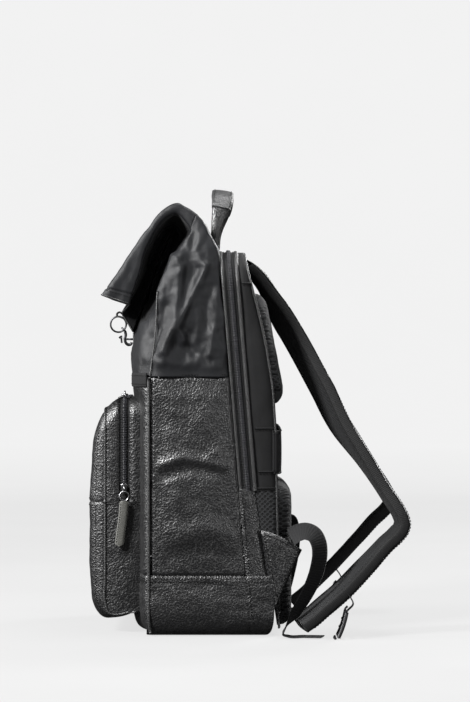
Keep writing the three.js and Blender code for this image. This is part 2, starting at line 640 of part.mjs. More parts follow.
// ---------------------------------------------------------------- shoulder straps
// Centre line of a shoulder strap as [x, y, z] for the left strap: out over the shoulder, down to a
// sharp bend and back to the bottom of the bag. lift raises the bend.
function strapPath(s, lift) {
  const rise = (t) => lift * Math.sin(Math.PI * t);
  return curveThrough([
    [s * 46, 43.5, 363],
    [s * 52, 58, 337 + rise(0.1)],
    [s * 62, 78.6, 302.5 + rise(0.15)],
    [s * 78, 107, 250 + rise(0.22)],
    [s * 92, 128, 208 + rise(0.3)],
    [s * 102, 147.4, 177.4 + rise(0.36)],
    [s * 107, 158.5, 159 + rise(0.4)],
    [s * 112, 169.5, 140 + rise(0.44)],
    [s * 118, 181, 120.3 + rise(0.48)],
    [s * 119, 182.5, 116 + rise(0.49)],
    [s * 119.5, 182.7, 111.4 + rise(0.5)],
    [s * 120, 181.5, 107 + rise(0.51)],
    [s * 120, 179, 103.2 + rise(0.52)],
    [s * 122, 170.4, 93.5 + rise(0.6)],
    [s * 126, 152.5, 73.2 + rise(0.7)],
    [s * 133, 125.8, 45.5 + rise(0.8)],
    [s * 138, 107, 29.5 + rise(0.92)],
    [s * 140, 97, 21.5],
  ]);
}

// The band twists its outer edge away from the bag, except where it is sewn on and at the bend.
const strapAcross = (s) => (t, along) => {
  const outward = new THREE.Vector3(1, 0, 0).cross(along);
  const start = THREE.MathUtils.smoothstep(t, 0, 0.14);
  const bend = 1 - 0.9 * Math.exp(-(((t - STRAP.bendAt) / 0.09) ** 2));
  const twist = STRAP.twist * start * bend;
  return new THREE.Vector3(s * Math.cos(twist), 0, 0).addScaledVector(outward, Math.sin(twist));
};

for (const { side, s } of sides) {
  const lift = s > 0 ? 0 : FAR_STRAP_LIFT;
  const path = strapPath(s, lift);
  const halfThick = STRAP.thick / 2;
  const flip = (section) => (s > 0 ? section : section.map(([u, v]) => [u, -v]).reverse());
  const padSection = flip(roundedSection(STRAP.width / 2, -halfThick, halfThick, 3.5, 4));
  const facing = [-halfThick - SKIN_GAP - STRAP.overlay, -halfThick - SKIN_GAP];
  const faceSection = flip(roundedSection(STRAP.width / 2 - 2, ...facing, 0.8, 4));
  addPiece(`strap_pad_${side}`, sweep(path, 38, strapAcross(s), padSection), mesh3d());
  addPiece(`strap_leather_${side}`, sweep(path, 38, strapAcross(s), faceSection), leather());
}

for (const { side, s } of sides) {
  // Sewn upper end: a short leather tongue from the yoke to the strap.
  const tongue = [[32.5, 378], [35, 381], [45.4, 371.4], [42.6, 369.6], [34.6, 372.4]];
  addPiece(`strap_anchor_${side}`, prismX(tongue, ...span(s, 20, 70)), leather());

  // Leather triangle at the lower rear corner and the webbing sewn to it.
  const tab = [[46.7, 107], [65, 100.5], [88, 87.2], [62, 32]];
  addPiece(`strap_tab_${side}`, prismX(tab, ...span(s, 144.6, 146.8)), leather());

  const route = [
    [148, 81.5, 101], [150, 88, 107], [152.5, 97, 106], [154, 105, 97], [155, 106.5, 85],
    [155, 104, 75], [154, 98, 60], [153, 90, 45], [152.5, 80, 24], [152.5, 75, 9.5],
    [152.5, 77, 3], [153, 84, 1.5], [156, 96, 1.5], [LOCK.x, 108, 1.5],
  ];
  const cord = curveThrough(route.map(([x, y, z]) => [s * x, y, z]));
  const across = (t) => {
    const open = 1 - THREE.MathUtils.smoothstep(t, 0, 0.4);
    return new THREE.Vector3(s, 0.7 * open, -0.45 * open);
  };
  const flat = roundedSection(WEBBING.width / 2, -WEBBING.thick / 2, WEBBING.thick / 2, 0.5);
  addPiece(`strap_webbing_${side}`, sweep(cord, 36, across, flat), webbing());
}

// Ladder-lock: a plastic frame with three bars that grips the webbing.
for (const { side, s } of sides) {
  const plate = new THREE.Shape();
  const { half, height } = LOCK;
  plate.moveTo(-half, 0);
  plate.lineTo(half, 0);
  plate.lineTo(half, height - 4);
  plate.lineTo(half - 4, height);
  plate.lineTo(4 - half, height);
  plate.lineTo(-half, height - 4);
  for (const [low, high] of [[3.5, 8], [12, 16.5], [20.5, 24.5]]) {
    const slot = new THREE.Path();
    slot.moveTo(3 - half, low);
    slot.lineTo(half - 3, low);
    slot.lineTo(half - 3, high);
    slot.lineTo(3 - half, high);
    plate.holes.push(slot);
  }
  const buckle = prismY(plate, -LOCK.thick / 2, LOCK.thick / 2);
  buckle.rotateX(THREE.MathUtils.degToRad(LOCK.lean));
  buckle.translate(s * LOCK.x, LOCK.y, LOCK.z);
  addPiece(`ladder_lock_${side}`, buckle, plastic());

  // Webbing tab that hangs the ladder-lock from the underside of the strap.
  const hanger = [[140.2, 36], [139.2, 36.8], [133.4, 30.4], [134.6, 29.4], [136, 30]];
  addPiece(`buckle_tab_${side}`, prismX(hanger, ...span(s, LOCK.x - 9, LOCK.x + 6)), webbing());
}

export default bag;
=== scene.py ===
import math
import bpy
import numpy as np
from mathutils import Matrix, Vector, noise


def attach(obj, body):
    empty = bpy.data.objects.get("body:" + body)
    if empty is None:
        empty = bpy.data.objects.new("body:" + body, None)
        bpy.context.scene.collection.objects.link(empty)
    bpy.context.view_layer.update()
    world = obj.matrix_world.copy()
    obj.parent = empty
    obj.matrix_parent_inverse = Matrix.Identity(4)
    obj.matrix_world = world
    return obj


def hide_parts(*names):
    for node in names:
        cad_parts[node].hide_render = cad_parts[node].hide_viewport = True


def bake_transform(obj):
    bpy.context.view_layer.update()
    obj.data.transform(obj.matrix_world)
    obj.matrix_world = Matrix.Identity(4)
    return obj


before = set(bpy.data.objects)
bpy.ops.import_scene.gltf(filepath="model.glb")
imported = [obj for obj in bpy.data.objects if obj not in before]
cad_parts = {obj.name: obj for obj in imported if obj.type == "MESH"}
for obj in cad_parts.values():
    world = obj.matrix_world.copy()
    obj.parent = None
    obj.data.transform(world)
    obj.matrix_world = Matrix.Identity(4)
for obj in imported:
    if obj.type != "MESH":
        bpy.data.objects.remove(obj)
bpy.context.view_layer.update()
MM = 0.001
SIDES = (("left", 1), ("right", -1))

# ------------------------------------------------------------------ camera, light and stage
CAMERA_AT = (3.0, 0.021, 0.286)
LENS = 146.4
camera_data = bpy.data.cameras.new("camera")
camera_data.lens = LENS
camera_data.sensor_width = 36
camera = bpy.data.objects.new("camera", camera_data)
camera.location = CAMERA_AT
camera.rotation_euler = (math.pi / 2, 0, math.pi / 2)
bpy.context.scene.collection.objects.link(camera)
bpy.context.scene.camera = camera
bpy.context.scene.view_settings.view_transform = "Standard"


def area_light(name, at, aim, size, power):
    data = bpy.data.lights.new(name, "AREA")
    data.shape = "RECTANGLE"
    data.size, data.size_y = size
    data.energy = power
    lamp = bpy.data.objects.new(name, data)
    lamp.location = at
    lamp.rotation_euler = (Vector(aim) - Vector(at)).to_track_quat("-Z", "Y").to_euler()
    bpy.context.scene.collection.objects.link(lamp)


area_light("key", (1.5, -1.5, 1.55), (0, 0, 0.25), (0.55, 0.55), 135)
area_light("front_rim", (0.15, -1.7, 0.8), (0, 0, 0.25), (0.4, 0.9), 30)
area_light("fill", (2.0, 1.5, 0.5), (0, 0, 0.2), (0.4, 0.7), 12)
area_light("top", (0.1, 0.3, 1.9), (0, 0, 0.3), (0.6, 0.6), 26)
area_light("back", (-1.2, 1.2, 1.2), (0, 0, 0.25), (0.6, 0.6), 42)


# ------------------------------------------------------------------ node helpers
def new_material(name):
    material = bpy.data.materials.new(name)
    material.use_nodes = True
    tree = material.node_tree
    return material, tree, tree.nodes["Principled BSDF"]


def add_node(tree, kind, inputs=None, **settings):
    made = tree.nodes.new(kind)
    for key, value in settings.items():
        setattr(made, key, value)
    for key, value in (inputs or {}).items():
        made.inputs[key].default_value = value
    return made


def link(tree, source, target):
    tree.links.new(source, target)


def math_node(tree, operation, a, b):
    made = add_node(tree, "ShaderNodeMath", operation=operation)
    for socket, value in zip(made.inputs, (a, b)):
        if isinstance(value, (int, float)):
            socket.default_value = value
        else:
            link(tree, value, socket)
    return made.outputs[0]


def ramp(tree, source, stops):
    made = add_node(tree, "ShaderNodeValToRGB")
    elements = made.color_ramp.elements
    while len(elements) < len(stops):
        elements.new(0.5)
    for element, (place, value) in zip(elements, stops):
        element.position = place
        element.color = (*value, 1) if isinstance(value, tuple) else (value, value, value, 1)
    link(tree, source, made.inputs["Fac"])
    return made.outputs["Color"]


def bump(tree, shader, height, strength, distance, before=None):
    made = add_node(tree, "ShaderNodeBump", {"Strength": strength, "Distance": distance})
    link(tree, height, made.inputs["Height"])
    if before is not None:
        link(tree, before, made.inputs["Normal"])
    if shader is not None:
        link(tree, made.outputs["Normal"], shader.inputs["Normal"])
    return made.outputs["Normal"]


def noise_node(tree, coords, scale, detail=4, roughness=0.55):
    made = add_node(tree, "ShaderNodeTexNoise", {"Scale": scale, "Detail": detail, "Roughness": roughness})
    link(tree, coords, made.inputs["Vector"])
    return made


def object_coords(tree):
    return add_node(tree, "ShaderNodeTexCoord").outputs["Object"]


def set_inputs(shader, values):
    for key, value in values.items():
        shader.inputs[key].default_value = value


def base_color(tree, shader, low, high, share):
    """Drives the base colour from low to high by a share of 0 to 1."""
    tone = add_node(tree, "ShaderNodeMixRGB", {"Color1": (*low, 1), "Color2": (*high, 1)})
    link(tree, share, tone.inputs["Fac"])
    link(tree, tone.outputs["Color"], shader.inputs["Base Color"])


# ------------------------------------------------------------------ materials
def leather_material(name, low, high, grain, strength, roughness, worn=0.5):
    """Pebbled leather: rounded grains parted by fine valleys, larger soft folds, tone that wanders."""
    material, tree, shader = new_material(name)
    coords = object_coords(tree)
    warp = noise_node(tree, coords, 140, 2)
    bent = add_node(tree, "ShaderNodeMixRGB", {"Fac": 0.0022}, blend_type="ADD")
    link(tree, coords, bent.inputs["Color1"])
    link(tree, warp.outputs["Color"], bent.inputs["Color2"])
    pebbles = {"Scale": grain, "Smoothness": 0.35}
    cells = add_node(tree, "ShaderNodeTexVoronoi", pebbles, feature="SMOOTH_F1")
    link(tree, bent.outputs["Color"], cells.inputs["Vector"])
    small = add_node(tree, "ShaderNodeTexVoronoi", {"Scale": grain * 2.3}, feature="F1")
    link(tree, bent.outputs["Color"], small.inputs["Vector"])
    broad = noise_node(tree, coords, 16, 4)
    pebble = ramp(tree, cells.outputs["Distance"], [(0.1, 1.0), (0.42, 0.62), (0.78, 0.0)])
    fine = math_node(tree, "MULTIPLY", small.outputs["Distance"], -0.16)
    height = math_node(tree, "ADD", pebble, fine)
    fade = ramp(tree, broad.outputs["Fac"], [(0.3, 0.7), (0.6, 1.0)])
    height = math_node(tree, "MULTIPLY", height, fade)
    wrinkles = noise_node(tree, coords, 48, 5, 0.6)
    soft = bump(tree, None, wrinkles.outputs["Fac"], 0.3, 0.003)
    bump(tree, shader, height, strength, 0.0009, soft)
    patches = ramp(tree, broad.outputs["Fac"], [(0.3, 0.35), (0.7, 1.0)])
    base_color(tree, shader, low, high, math_node(tree, "MULTIPLY", pebble, patches))
    shine = ramp(tree, pebble, [(0.1, roughness + 0.22), (0.8, roughness - worn * 0.1)])
    link(tree, shine, shader.inputs["Roughness"])
    shader.inputs["Specular IOR Level"].default_value = 0.85
    return material


def fabric_material(name, low, high, scale, strength, roughness, sheen=0.15):
    """Woven cloth: two sets of fine threads, soft blotches and a little sheen."""
    material, tree, shader = new_material(name)
    coords = object_coords(tree)
    threads = {"Scale": scale, "Distortion": 0.6, "Detail": 1}
    across = add_node(tree, "ShaderNodeTexWave", threads, bands_direction="Z")
    down = add_node(tree, "ShaderNodeTexWave", threads, bands_direction="DIAGONAL")
    link(tree, coords, across.inputs["Vector"])
    link(tree, coords, down.inputs["Vector"])
    weave = math_node(tree, "MAXIMUM", across.outputs["Fac"], down.outputs["Fac"])
    blotch = noise_node(tree, coords, 34, 6, 0.65)
    grainy = noise_node(tree, coords, 900, 2)
    height = math_node(tree, "ADD", weave, grainy.outputs["Fac"])
    soft = bump(tree, None, blotch.outputs["Fac"], 0.12, 0.0016)
    bump(tree, shader, height, strength, 0.00018, soft)
    patches = ramp(tree, blotch.outputs["Fac"], [(0.3, 0.2), (0.72, 1.0)])
    specks = ramp(tree, grainy.outputs["Fac"], [(0.3, 0.7), (0.7, 1.0)])
    base_color(tree, shader, low, high, math_node(tree, "MULTIPLY", patches, specks))
    set_inputs(shader, {"Roughness": roughness, "Specular IOR Level": 0.27})
    set_inputs(shader, {"Sheen Weight": sheen, "Sheen Roughness": 0.4})
    return material


def mesh_material(name, along_uv, pitch=0.0036):
    """Spacer mesh: a lattice of round holes with painted shade in them, pitch metres apart or millimetres
    on a UV band.
    """
    material, tree, shader = new_material(name)
    source = add_node(tree, "ShaderNodeTexCoord")
    if along_uv:
        flat = source.outputs["UV"]
    else:
        parts = add_node(tree, "ShaderNodeSeparateXYZ")
        link(tree, source.outputs["Object"], parts.inputs[0])
        joined = add_node(tree, "ShaderNodeCombineXYZ")
        sideways = math_node(tree, "ADD", parts.outputs["X"], parts.outputs["Y"])
        link(tree, sideways, joined.inputs["X"])
        link(tree, parts.outputs["Z"], joined.inputs["Y"])
        flat = joined.outputs[0]
    turn = add_node(tree, "ShaderNodeMapping", {"Rotation": (0, 0, math.pi / 4)})
    link(tree, flat, turn.inputs["Vector"])
    holes = {"Scale": 1 / pitch, "Randomness": 0.06}
    cells = add_node(tree, "ShaderNodeTexVoronoi", holes, voronoi_dimensions="2D")
    link(tree, turn.outputs["Vector"], cells.inputs["Vector"])
    knit = noise_node(tree, source.outputs["Object"], 1400, 2)
    hole = ramp(tree, cells.outputs["Distance"], [(0.3, 0.0), (0.42, 1.0)])
    height = math_node(tree, "ADD", hole, math_node(tree, "MULTIPLY", knit.outputs["Fac"], 0.3))
    bump(tree, shader, height, 0.9, 0.0011)
    # Painted shade: the holes are coloured near black for the shade inside them, and the mesh between them
    # is lighter.
    base_color(tree, shader, (0.0005, 0.0005, 0.0006), (0.011, 0.0115, 0.0125), hole)
    set_inputs(shader, {"Roughness": 0.8, "Specular IOR Level": 0.35, "Sheen Weight": 0.02})
    return material


def webbing_material(name, low, high, rib=0.0013):
    """Ribbed webbing and zip tape: ribs across the band, from its own length and width."""
    material, tree, shader = new_material(name)
    source = add_node(tree, "ShaderNodeTexCoord")
    bands = {"Scale": 1 / rib / 6.3, "Distortion": 0.8, "Detail": 2}
    ribs = add_node(tree, "ShaderNodeTexWave", bands, bands_direction="Y")
    link(tree, source.outputs["UV"], ribs.inputs["Vector"])
    threads = noise_node(tree, source.outputs["Object"], 1200, 3)
    height = math_node(tree, "ADD", ribs.outputs["Fac"], threads.outputs["Fac"])
    bump(tree, shader, height, 0.6, 0.0003)
    share = math_node(tree, "MULTIPLY", ribs.outputs["Fac"], threads.outputs["Fac"])
    base_color(tree, shader, low, high, share)
    set_inputs(shader, {"Roughness": 0.75, "Specular IOR Level": 0.3, "Sheen Weight": 0.02})
    return material


def metal_material(name, color, roughness):
    """Satin metal with faint scratches in its tone, shine and surface."""
    material, tree, shader = new_material(name)
    coords = object_coords(tree)
    scratches = noise_node(tree, coords, 700, 5, 0.7)
    base_color(tree, shader, [c * 0.6 for c in color], color, scratches.outputs["Fac"])
    shine = ramp(tree, scratches.outputs["Fac"], [(0.3, roughness - 0.08), (0.7, roughness + 0.14)])
    link(tree, shine, shader.inputs["Roughness"])
    bump(tree, shader, scratches.outputs["Fac"], 0.15, 0.0002)
    shader.inputs["Metallic"].default_value = 1
    return material


def plastic_material(name, color, roughness):
    """Moulded plastic with a fine spark-eroded texture."""
    material, tree, shader = new_material(name)
    coords = object_coords(tree)
    grain = noise_node(tree, coords, 1500, 3)
    base_color(tree, shader, color, [c * 1.7 for c in color], grain.outputs["Fac"])
    shine = ramp(tree, grain.outputs["Fac"], [(0.3, roughness - 0.05), (0.7, roughness + 0.1)])
    link(tree, shine, shader.inputs["Roughness"])
    bump(tree, shader, grain.outputs["Fac"], 0.25, 0.0001)
    return material


LEATHER = leather_material(
    "pebbled_leather", (0.0012, 0.0012, 0.0014), (0.0095, 0.0095, 0.01), 520, 0.4, 0.34)
FOLDED = leather_material("folded_leather", (0.012, 0.012, 0.0125), (0.03, 0.03, 0.031), 700, 0.4, 0.42)
TRIM = leather_material("smooth_leather", (0.002, 0.002, 0.002), (0.008, 0.008, 0.0085), 900, 0.3, 0.42)
PULL = leather_material("pull_leather", (0.03, 0.03, 0.025), (0.052, 0.051, 0.043), 1100, 0.18, 0.6)
GUSSET = fabric_material(
    "rear_cloth", (0.0015, 0.0015, 0.0017), (0.006, 0.006, 0.0065), 420, 0.3, 0.7, 0.03)
COATED = fabric_material(
    "coated_fabric", (0.003, 0.0032, 0.0038), (0.009, 0.0095, 0.011), 300, 0.3, 0.52, 0.04)
# Near-black cloth: the real lining of the inner pieces, and also painted shade on the coated fabric deep in
# the roll-top's side folds.
LINING_AND_FOLD_SHADE = fabric_material(
    "lining_and_fold_shade_cloth", (0.0015, 0.0015, 0.0018), (0.004, 0.004, 0.0046), 200, 0.5, 0.85, 0.02)
MESH_UV = mesh_material("spacer_mesh_band", True)
MESH = mesh_material("spacer_mesh", False)
WEBBING = webbing_material("webbing", (0.001, 0.001, 0.0013), (0.0065, 0.0067, 0.0075))
TRIM_TAPE = webbing_material("trim_tape", (0.0015, 0.0015, 0.0016), (0.008, 0.008, 0.0085), 0.0009)
THREAD = fabric_material("thread", (0.0006, 0.0006, 0.0006), (0.002, 0.002, 0.002), 900, 0.5, 0.9, 0.0)
STEEL = metal_material("gunmetal", (0.42, 0.42, 0.43), 0.27)
DARK_STEEL = metal_material("dark_wire", (0.09, 0.09, 0.095), 0.34)
PLASTIC = plastic_material("black_plastic", (0.008, 0.008, 0.009), 0.38)
COIL = plastic_material("zip_coil", (0.014, 0.014, 0.016), 0.36)


# ------------------------------------------------------------------ mesh helpers (millimetres)
def resample(curve, steps):
    """Evenly spaced points along a chain of segments."""
    run = np.concatenate([[0], np.cumsum(np.linalg.norm(np.diff(curve, axis=0), axis=1))])
    at = np.linspace(0, run[-1], steps + 1)
    return np.stack([np.interp(at, run, curve[:, i]) for i in range(curve.shape[1])], axis=1)


def spline(points, steps):
    """Evenly spaced points along a smooth curve through the given ones."""
    p = np.array(points, float)
    t = np.concatenate([[0], np.cumsum(np.linalg.norm(np.diff(p, axis=0), axis=1))])
    slope = np.gradient(p, t, axis=0) if len(p) > 2 else np.repeat([(p[1] - p[0]) / t[-1]], 2, axis=0)
    fine = np.linspace(0, t[-1], 10 * steps)
    k = np.clip(np.searchsorted(t, fine, side="right") - 1, 0, len(p) - 2)
    h = (t[k + 1] - t[k])[:, None]
    u = (fine - t[k])[:, None] / h
    curve = (2 * u**3 - 3 * u**2 + 1) * p[k] + (u**3 - 2 * u**2 + u) * h * slope[k]
    curve += (3 * u**2 - 2 * u**3) * p[k + 1] + (u**3 - u**2) * h * slope[k + 1]
    return resample(curve, steps)


def unit(v):
    """Vectors of length one."""
    return v / np.maximum(np.linalg.norm(v, axis=-1, keepdims=True), 1e-9)


def smooth(x, low, high):
    """Eases from 0 at low to 1 at high."""
    t = np.clip((x - low) / (high - low), 0, 1)
    return t * t * (3 - 2 * t)


def rough(points, size, seed=0.0, octaves=3):
    """Soft noise at each point, about -1 to 1. size is its length in mm, one for all axes or for each."""
    scaled = points.reshape(-1, 3) / np.array(size, float) + seed
    values = [noise.fractal(Vector(p), 0.9, 2.0, octaves, noise_basis="PERLIN_ORIGINAL") for p in scaled]
    return np.array(values).reshape(points.shape[:-1])


def distance_to(points, line):
    """Distance from each point to a chain of segments, over as many axes as the line has."""
    line = np.array(line, float)
    best = np.full(points.shape[:-1], 1e9)
    for a, b in zip(line[:-1], line[1:]):
        d = b - a
        t = np.clip(((points - a) @ d) / (d @ d), 0, 1)
        best = np.minimum(best, np.linalg.norm(points - a - t[..., None] * d, axis=-1))
    return best


def creases(points, marks):
    """Sum of soft ridges (positive) and folds (negative): marks are (line, height, width)."""
    total = np.zeros(points.shape[:-1])
    for line, height, width in marks:
        total += height * np.exp(-((distance_to(points, line) / width) ** 2))
    return total


def normals(grid, inside):
    """Directions square to a grid's surface, away from the point inside."""
    n = unit(np.cross(np.gradient(grid, axis=0), np.gradient(grid, axis=1)))
    facing = np.sum(n * (grid - np.array(inside, float)))
    return n if facing > 0 else -n


def build(name, verts, faces, material, body, uvs=None, wall=0.0):
    mesh = bpy.data.meshes.new(name)
    mesh.from_pydata((np.asarray(verts, float) * MM).tolist(), [], [list(map(int, f)) for f in faces])
    mesh.materials.append(material)
    if uvs is not None:
        layer = mesh.uv_layers.new(name="UVMap")
        layer.data.foreach_set("uv", (np.asarray(uvs, float) * MM).ravel())
    mesh.polygons.foreach_set("use_smooth", [True] * len(mesh.polygons))
    obj = bpy.data.objects.new(name, mesh)
    bpy.context.scene.collection.objects.link(obj)
    if wall:
        shell = obj.modifiers.new("wall", "SOLIDIFY")
        shell.thickness = wall * MM
        shell.offset = -1
    if body:
        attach(obj, body)
    return obj


def lattice(name, grid, material, body, inside=None, loop_u=False, loop_v=False, caps=False,
            wall=0.0):
    """A sheet or tube from a grid of points [u, v, xyz]. Its UVs are its own lengths.
    Its faces look away from the point inside, or out of its own volume."""
    nu, nv = grid.shape[:2]
    iu = np.arange(nu if loop_u else nu - 1)
    iv = np.arange(nv if loop_v else nv - 1)
    gu, gv = (a.ravel() for a in np.meshgrid(iu, iv, indexing="ij"))
    corners = [(gu, gv), (gu + 1, gv), (gu + 1, gv + 1), (gu, gv + 1)]
    faces = np.stack([(u % nu) * nv + v % nv for u, v in corners], axis=1)
    length_u = np.concatenate([grid, grid[:1]], axis=0) if loop_u else grid
    length_v = np.concatenate([grid, grid[:, :1]], axis=1) if loop_v else grid
    steps_u = np.linalg.norm(np.diff(length_u, axis=0), axis=2).mean(axis=1)
    steps_v = np.linalg.norm(np.diff(length_v, axis=1), axis=2).mean(axis=0)
    run_u = np.concatenate([[0], np.cumsum(steps_u)])
    run_v = np.concatenate([[0], np.cumsum(steps_v)])
    uvs = np.stack([np.stack([run_v[v], run_u[u]], axis=1) for u, v in corners], axis=1)
    verts = grid.reshape(-1, 3)
    if inside is not None:
        a, b, c = (verts[faces[:, i]] for i in (0, 1, 2))
        outward = np.sum(np.cross(b - a, c - a) * (a - np.array(inside, float)))
    else:
        centre = verts.mean(axis=0)
        a, b, c, d = (verts[faces[:, i]] - centre for i in range(4))
        outward = np.sum(np.cross(a, b) * c) + np.sum(np.cross(a, c) * d)
    if outward < 0:
        faces = faces[:, ::-1]
        uvs = uvs[:, ::-1]
    uvs = uvs.reshape(-1, 2)
    faces = faces.tolist()
    if caps:
        first = list(range(nv))
        last = [(nu - 1) * nv + k for k in range(nv)]
        faces += [first if outward < 0 else first[::-1], last[::-1] if outward < 0 else last]
        uvs = np.concatenate([uvs, np.zeros((2 * nv, 2))])
    return build(name, verts, faces, material, body, uvs, wall)


def frames(path, across_at):
    """Directions along, across and out of a path at each of its points."""
    along = unit(np.gradient(path, axis=0))
    count = len(path) - 1
    across = np.array([across_at(i / count, along[i]) for i in range(len(path))], float)
    across = unit(across - np.sum(across * along, axis=1, keepdims=True) * along)
    return along, across, np.cross(along, across)


def swept(path, across_at, section):
    """Grid of a band along a path. section is [across, outward] pairs, one set or one for each point."""
    _, across, out = frames(path, across_at)
    section = np.array(section, float)
    if section.ndim == 2:
        section = np.repeat(section[None], len(path), axis=0)
    return path[:, None] + across[:, None] * section[..., :1] + out[:, None] * section[..., 1:]


def circle(radius, sides=10):
    a = np.linspace(0, 2 * math.pi, sides, endpoint=False)
    return np.stack([radius * np.cos(a), radius * np.sin(a)], axis=1)


def any_across(t, along):
    return (0, 0, 1) if abs(along[2]) < 0.9 else (1, 0, 0)


def facing(direction):
    """The same across direction all along a path."""
    return lambda t, along: direction


def tube(name, points, radius, material, body, slot, steps=60, sides=10):
    return band(name, spline(points, steps), any_across, circle(radius, sides), material, body, slot)


def band(name, path, across_at, section, material, body, slot):
    """A closed band or bar along a path, with its ends capped."""
    grid = swept(path, across_at, section)
    return lattice(name, grid, material, body, loop_v=True, caps=True)


def loop_tube(name, centre, normal, radius, wire, material, body, sides=12, steps=48):
    normal = unit(np.array(normal, float))
    side = unit(np.cross(normal, (0.3, 0.5, 0.81)))
    other = np.cross(normal, side)
    a = np.linspace(0, 2 * math.pi, steps, endpoint=False)[:, None]
    spoke = np.cos(a) * side + np.sin(a) * other
    b = np.linspace(0, 2 * math.pi, sides, endpoint=False)
    grid = np.array(centre, float) + spoke[:, None] * (radius + wire * np.cos(b))[None, :, None]
    grid = grid + normal * (wire * np.sin(b))[None, :, None]
    return lattice(name, grid, material, body, loop_u=True, loop_v=True)


def beads(name, centres, along, up, length, radius, material, body):
    """Many small rounded bars in one mesh: stitches, or the teeth of a zip."""
    centres = np.asarray(centres, float)
    along = unit(np.broadcast_to(np.asarray(along, float), centres.shape))
    up = np.broadcast_to(np.asarray(up, float), centres.shape)
    side = unit(np.cross(along, up))
    up = np.cross(side, along)
    a = np.linspace(0, 2 * math.pi, 6, endpoint=False)
    rings = []
    for place, size, sink in ((-0.5, 0.45, 0.35), (-0.3, 1, 0), (0.3, 1, 0), (0.5, 0.45, 0.35)):
        centre = centres + along * (place * length) - up * (sink * radius)
        spoke = np.cos(a)[None, :, None] * side[:, None] + np.sin(a)[None, :, None] * up[:, None]
        rings.append(centre[:, None] + spoke * (radius * size))
    verts = np.stack(rings, axis=1).reshape(-1, 3)
    pattern = []
    for r in range(3):
        for k in range(6):
            m = (k + 1) % 6
            pattern.append((r * 6 + k, r * 6 + m, (r + 1) * 6 + m, (r + 1) * 6 + k))
    first = 24 * np.arange(len(centres))[:, None, None]
    faces = (np.array(pattern)[None] + first).reshape(-1, 4).tolist()
    for i in range(len(centres)):
        faces.append([24 * i + k for k in range(6)])
        faces.append([24 * i + 23 - k for k in range(6)])
    return build(name, verts, faces, material, body)


def stitches(name, path, up, body, pitch=3.0, length=2.0, radius=0.4, lift=0.12):
    """A row of stitches along a path that lies on a surface facing up."""
    path = np.asarray(path, float)
    run = np.linalg.norm(np.diff(path, axis=0), axis=1).sum()
    count = max(int(run / pitch), 2)
    fine = resample(path, count * 2)
    up = np.asarray(up, float)
    if up.ndim == 2:
        up = unit(resample(up, count * 2))[1::2]
    centres = fine[1::2]
    along = unit(fine[2::2] - fine[:-1:2])
    return beads(name, centres + unit(up) * lift, along, up, length, radius, THREAD, body)


def round_corner(half, radius, into):
    """Half width of a shape whose corner of this radius begins at into = 0."""
    return half - radius + np.sqrt(np.maximum(radius**2 - into**2, 0))


def quarter_round(near, radius):
    """Rises from 0 at an edge to 1 at the radius, along a quarter of a circle."""
    return np.sqrt(np.maximum(1 - (1 - np.minimum(near / radius, 1)) ** 2, 0))


def upright(pairs, y):
    """[x, z] pairs as [x, y, z], all at the depth y or each at its own."""
    return np.column_stack([pairs[:, 0], np.broadcast_to(y, len(pairs)), pairs[:, 1]])


BAG_MIDDLE = (0, -20, 170)

# ------------------------------------------------------------------ leather body
# x runs across the bag, y from its front to its back and z up. HALF is its half width. SIDE_FRONT is where
# a side panel meets the front corner, SEAM where the leather meets the cloth, and the rear zip's arch
# stands on ARCH_FOOT at both sides. REAR_ARCH is its half width, top, corner radius and foot.
HALF = 143.0
FRONT_Y = -82.5
SIDE_FRONT = -63.0
BOOT_TOP = 61.0
SEAM = 260.0
ARCH_TOP = 386.0
ARCH_FOOT = 146.0
TAPE = 19.0
REAR_ARCH = (141, ARCH_TOP, 34, ARCH_FOOT)
# Line of the bag's back as (y, z).
BACK_CURVE = np.array([
    (62, 0), (62, 61.35), (60.5, 110), (59.5, 160), (58.5, 208), (56, 247), (49, 291), (43, 319),
    (35.5, 348), (31, 366), (28.2, 379), (26, 392),
])


def back_edge(z):
    """Depth of the side panel's rear edge, where the rear compartment begins."""
    return 36.6 - 0.083 * z


def back_at(z):
    """Depth of the bag's back."""
    return np.interp(z, BACK_CURVE[:, 1], BACK_CURVE[:, 0])


# Ridges and folds of the side leather as (line of (y, z), height, width).
SIDE_MARKS = [
    ([(-56, 171), (-42, 176), (-30, 179), (-7, 175.5), (8, 170)], 1.9, 5.5),
    ([(-50, 160), (-36, 165), (-22, 168), (0, 165)], -1.5, 6),
    ([(2.6, 184), (10, 176), (19, 168)], 1.4, 5),
    ([(-60, 246), (-40, 240), (-12, 243), (10, 238)], 1.1, 7),
    ([(-62, 226), (-48, 214), (-30, 210)], -1.0, 8),
    ([(-58, 112), (-34, 104), (-6, 108), (16, 100)], 0.9, 10),
    ([(-40, 84), (-12, 88), (14, 80)], -0.8, 9),
    ([(14, 226), (6, 206), (4, 190)], 0.9, 7),
]


